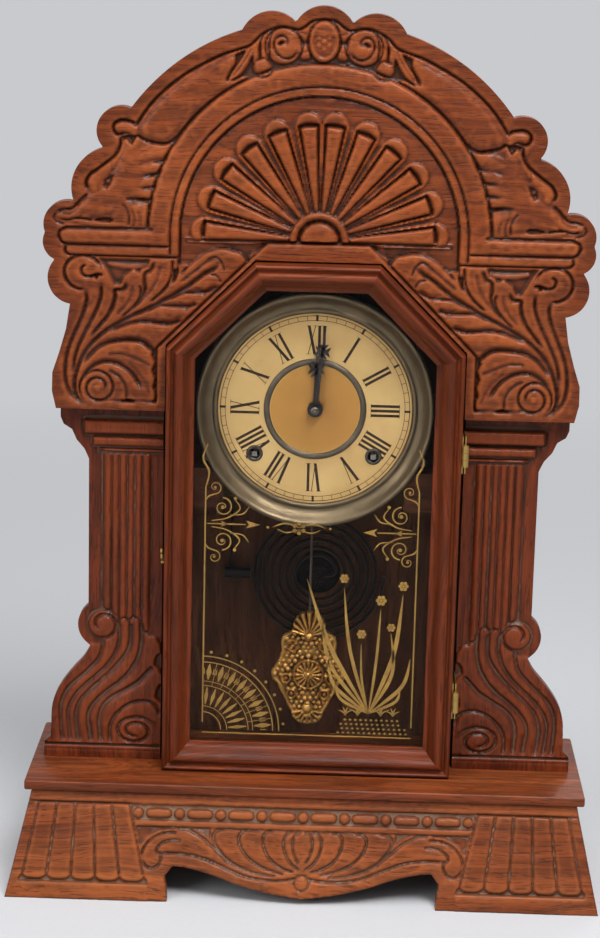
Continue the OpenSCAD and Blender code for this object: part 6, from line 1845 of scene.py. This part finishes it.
class CLOCK_OT_pendulum(bpy.types.Operator):
    """Presses the ornate bob and finishes the rod"""
    bl_idname = "clock.pendulum"
    bl_label = "Pendulum"

    def execute(self, context):
        lo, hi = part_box("pendulum_bob")
        middle = (lo[2] + hi[2]) / 2 / MM
        back = hi[1] / MM
        half = carve_bob(face_step(BOB_STEP))
        whole = mirrored(Carving(half.x, half.z + middle, half.step, half.h))

        def inside(X, Z):
            nicks = 0.35 * (1 + np.sin(1.9 * (X + Z)) * np.cos(1.7 * (X - Z)))
            return polygon_inside(BOB_OUTLINE, X, Z - middle) - nicks
        brass = metal("pressed brass", (0.58, 0.31, 0.082), rough=0.36, tarnish=(0.13, 0.065, 0.024),
                      amount=0.6, scale=120.0, pressed=0.9)
        piece = carved_board("bob_pressed", whole, inside, back - 1.0, back, "pendulum", brass)
        for v in piece.data.vertices:
            v.co.x += (lo[0] + hi[0]) / 2
        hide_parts("pendulum_bob")
        cad_finish(metal("browned rod", (0.105, 0.085, 0.068), rough=0.45), "pendulum_rod")
        return {"FINISHED"}


# Case and movement


class CLOCK_OT_case(bpy.types.Operator):
    """Finishes the case boards, rails, blocks, movement and gong"""
    bl_idname = "clock.case"
    bl_label = "Case and movement"

    def execute(self, context):
        wood = context.scene.clock_wood
        # The boards inside the case take a darker copy of the oak: painted shade for the inside of the case
        shaded_inside = dict(stain=(0.062, 0.0200, 0.0080), bright=(0.120, 0.0400, 0.0145), rough=0.6, coat=0.0)
        # The sides take a darker copy of the stain: partly the colour of the sides, partly painted shade for
        # their inner faces
        sides = oak("stained case sides", 90.0, stain=tinted(wood.stain, 0.7),
                    bright=tinted(wood.bright, 0.6), dusty=0.8)
        brass = metal("old brass", context.scene.clock_dial.brass, rough=0.36)
        steel = metal("plain steel", (0.33, 0.31, 0.28), rough=0.35)
        # The movement's plates take a very dark brass: painted shade for the plates deep in the case
        dull = metal("dull brass", (0.085, 0.050, 0.018), rough=0.5)
        wire = metal("blued gong wire", (0.030, 0.025, 0.023), rough=0.42, tarnish=(0.012, 0.009, 0.008))
        cad_finish(oak("case oak upright", 90.0, **shaded_inside), "front_frame", "door_stop", "back_board")
        cad_finish(oak("case oak level", **shaded_inside), "movement_rails", "dial_blocks")
        cad_finish(sides, "case_side_left", "case_side_right")
        cad_finish(oak_boards(), "case_top")
        cad_finish(pine(), "crest_backer")
        cad_finish(dull, "front_plate", "back_plate")
        cad_finish(brass, "time_main_wheel", "time_second_wheel", "centre_wheel", "third_wheel",
                   "escape_wheel", "minute_wheel", "hour_wheel", "strike_main_wheel",
                   "strike_second_wheel", "strike_third_wheel", "fly", "count_wheel")
        cad_finish(steel, "time_winding_arbor", "strike_winding_arbor", "verge", "wood_screws")
        cad_finish(wire, "gong_coil", "hammer")
        cad_finish(blackened_steel(), "mainsprings")
        cad_finish(plain("black iron", (0.012, 0.0085, 0.0070), rough=0.9), "gong_base")
        return {"FINISHED"}


# Stage


# Lamps: name, place and aim in metres, the setting and share of its power, and the side of the lamp
LAMPS = [("key", (0.50, -1.00, 1.65), (0.0, 0.0, 0.26), "key_power", 1.0, 0.7),
         ("fill", (-1.30, -1.30, 0.95), (0.0, 0.0, 0.28), "fill_power", 1.0, 1.0),
         ("top", (-0.15, -0.40, 1.55), (0.0, 0.0, 0.25), "fill_power", 0.8, 0.7),
         ("behind", (0.6, 1.5, 1.3), (0.0, 0.0, 0.28), "fill_power", 0.5, 1.0)]

# Camera: place in metres, and turn to the side, downward and about its own axis in degrees
CAMERA_PLACE = (0.0203, -1.502, 0.6401)
CAMERA_TURN = (-1.1, 13.73, 1.43)


def background_rays(g):
    """1 for the rays that look at the background, straight, in a reflection or through glass."""
    path = g.add("ShaderNodeLightPath").outputs
    indirect = g.maths("MAXIMUM", path["Is Glossy Ray"], path["Is Transmission Ray"])
    return g.maths("MAXIMUM", path["Is Camera Ray"], indirect)


class CLOCK_OT_stage(bpy.types.Operator):
    """Lays the pale floor, hangs the lamps and sets the camera"""
    bl_idname = "clock.stage"
    bl_label = "Studio"

    def execute(self, context):
        scene = context.scene
        stage = scene.clock_stage
        mesh = bpy.data.meshes.new("floor")
        half = stage.floor_size / 2
        corners = [(-half, -half, 0), (half, -half, 0), (half, half, 0), (-half, half, 0)]
        mesh.from_pydata(corners, [], [(0, 1, 2, 3)])
        floor = bpy.data.objects.new("floor", mesh)
        scene.collection.objects.link(floor)
        floor.data.materials.append(self.cloth(stage))
        for name, place, aim, setting, share, size in LAMPS:
            self.lamp(name, place, aim, getattr(stage, setting) * share, size)
        self.sky(scene, stage)
        self.camera(scene, stage)
        scene.view_settings.view_transform = "Standard"
        return {"FINISHED"}

    def cloth(self, stage):
        """Floor that turns into the plain backdrop with distance, for the rays that look at it."""
        material, g, surface = shader("pale floor")
        vector = g.place()
        weave = g.noise(vector, 260.0, 3.0, 0.6)
        g.feed(surface.inputs["Base Color"],
               g.mix(weave, tuple(stage.backdrop), tinted(stage.backdrop, 0.93)))
        surface.inputs["Roughness"].default_value = 0.85
        away = g.times(g.ramp(g.length(vector), 0.35, 1.5), background_rays(g))
        flat = g.add("ShaderNodeEmission", rgba(stage.backdrop), 1.0)
        end = g.tree.nodes["Material Output"]
        g.feed(end.inputs[0], g.add("ShaderNodeMixShader", away, surface, flat))
        return material

    def lamp(self, name, place, aim, power, size):
        data = bpy.data.lights.new(name, "AREA")
        data.energy = power
        data.shape = "RECTANGLE"
        data.size = data.size_y = size
        lamp = bpy.data.objects.new(name, data)
        lamp.location = place
        lamp.rotation_euler = (Vector(aim) - Vector(place)).to_track_quat("-Z", "Y").to_euler()
        bpy.context.scene.collection.objects.link(lamp)

    def sky(self, scene, stage):
        world = bpy.data.worlds.new("studio")
        scene.world = world
        world.use_nodes = True
        g = Graph(world.node_tree)
        light = g.add("ShaderNodeBackground", (0.96, 0.98, 1.0, 1.0), stage.sky)
        shown = g.add("ShaderNodeBackground", rgba(stage.backdrop), 1.0)
        g.add("ShaderNodeOutputWorld", g.add("ShaderNodeMixShader", background_rays(g), light, shown))

    def camera(self, scene, stage):
        """Camera placed as the photograph's, from the clock's known widths and heights."""
        yaw, pitch, roll = (radians(angle) for angle in CAMERA_TURN)
        forward = Vector((sin(yaw) * cos(pitch), cos(yaw) * cos(pitch), -sin(pitch)))
        right = Vector((cos(yaw), -sin(yaw), 0.0))
        up = right.cross(forward)
        turned_right = cos(roll) * right + sin(roll) * up
        turned_up = -sin(roll) * right + cos(roll) * up
        data = bpy.data.cameras.new("camera")
        data.sensor_width = 36.0
        data.lens = stage.lens
        camera = bpy.data.objects.new("camera", data)
        turn = Matrix((turned_right, turned_up, -forward)).transposed()
        camera.matrix_world = Matrix.Translation(CAMERA_PLACE) @ turn.to_4x4()
        scene.collection.objects.link(camera)
        scene.camera = camera


class CLOCK_PT_panel(bpy.types.Panel):
    """Lists the pieces of the clock"""
    bl_idname = "CLOCK_PT_panel"
    bl_label = "Carved shelf clock"
    bl_space_type = "VIEW_3D"
    bl_region_type = "UI"
    bl_category = "Clock"

    def draw(self, context):
        layout = self.layout
        for group in (context.scene.clock_wood, context.scene.clock_dial, context.scene.clock_stage):
            box = layout.box()
            for key in group.__annotations__:
                box.prop(group, key)
        for operator in OPERATORS:
            layout.operator(operator.bl_idname)


GROUPS = {"clock_wood": ClockWoodSettings, "clock_dial": ClockDialSettings,
          "clock_stage": ClockStageSettings}
OPERATORS = [CLOCK_OT_stage, CLOCK_OT_crest, CLOCK_OT_pilasters, CLOCK_OT_base, CLOCK_OT_door,
             CLOCK_OT_pane, CLOCK_OT_dial, CLOCK_OT_hands, CLOCK_OT_pendulum, CLOCK_OT_case]


def register():
    for kind in list(GROUPS.values()) + OPERATORS + [CLOCK_PT_panel]:
        bpy.utils.register_class(kind)
    for name, kind in GROUPS.items():
        setattr(bpy.types.Scene, name, PointerProperty(type=kind))


def unregister():
    for name in GROUPS:
        delattr(bpy.types.Scene, name)
    for kind in reversed(list(GROUPS.values()) + OPERATORS + [CLOCK_PT_panel]):
        bpy.utils.unregister_class(kind)


def main():
    register()
    for operator in OPERATORS:
        getattr(bpy.ops.clock, operator.bl_idname.split(".")[1])()


if __name__ == "__main__":
    main()
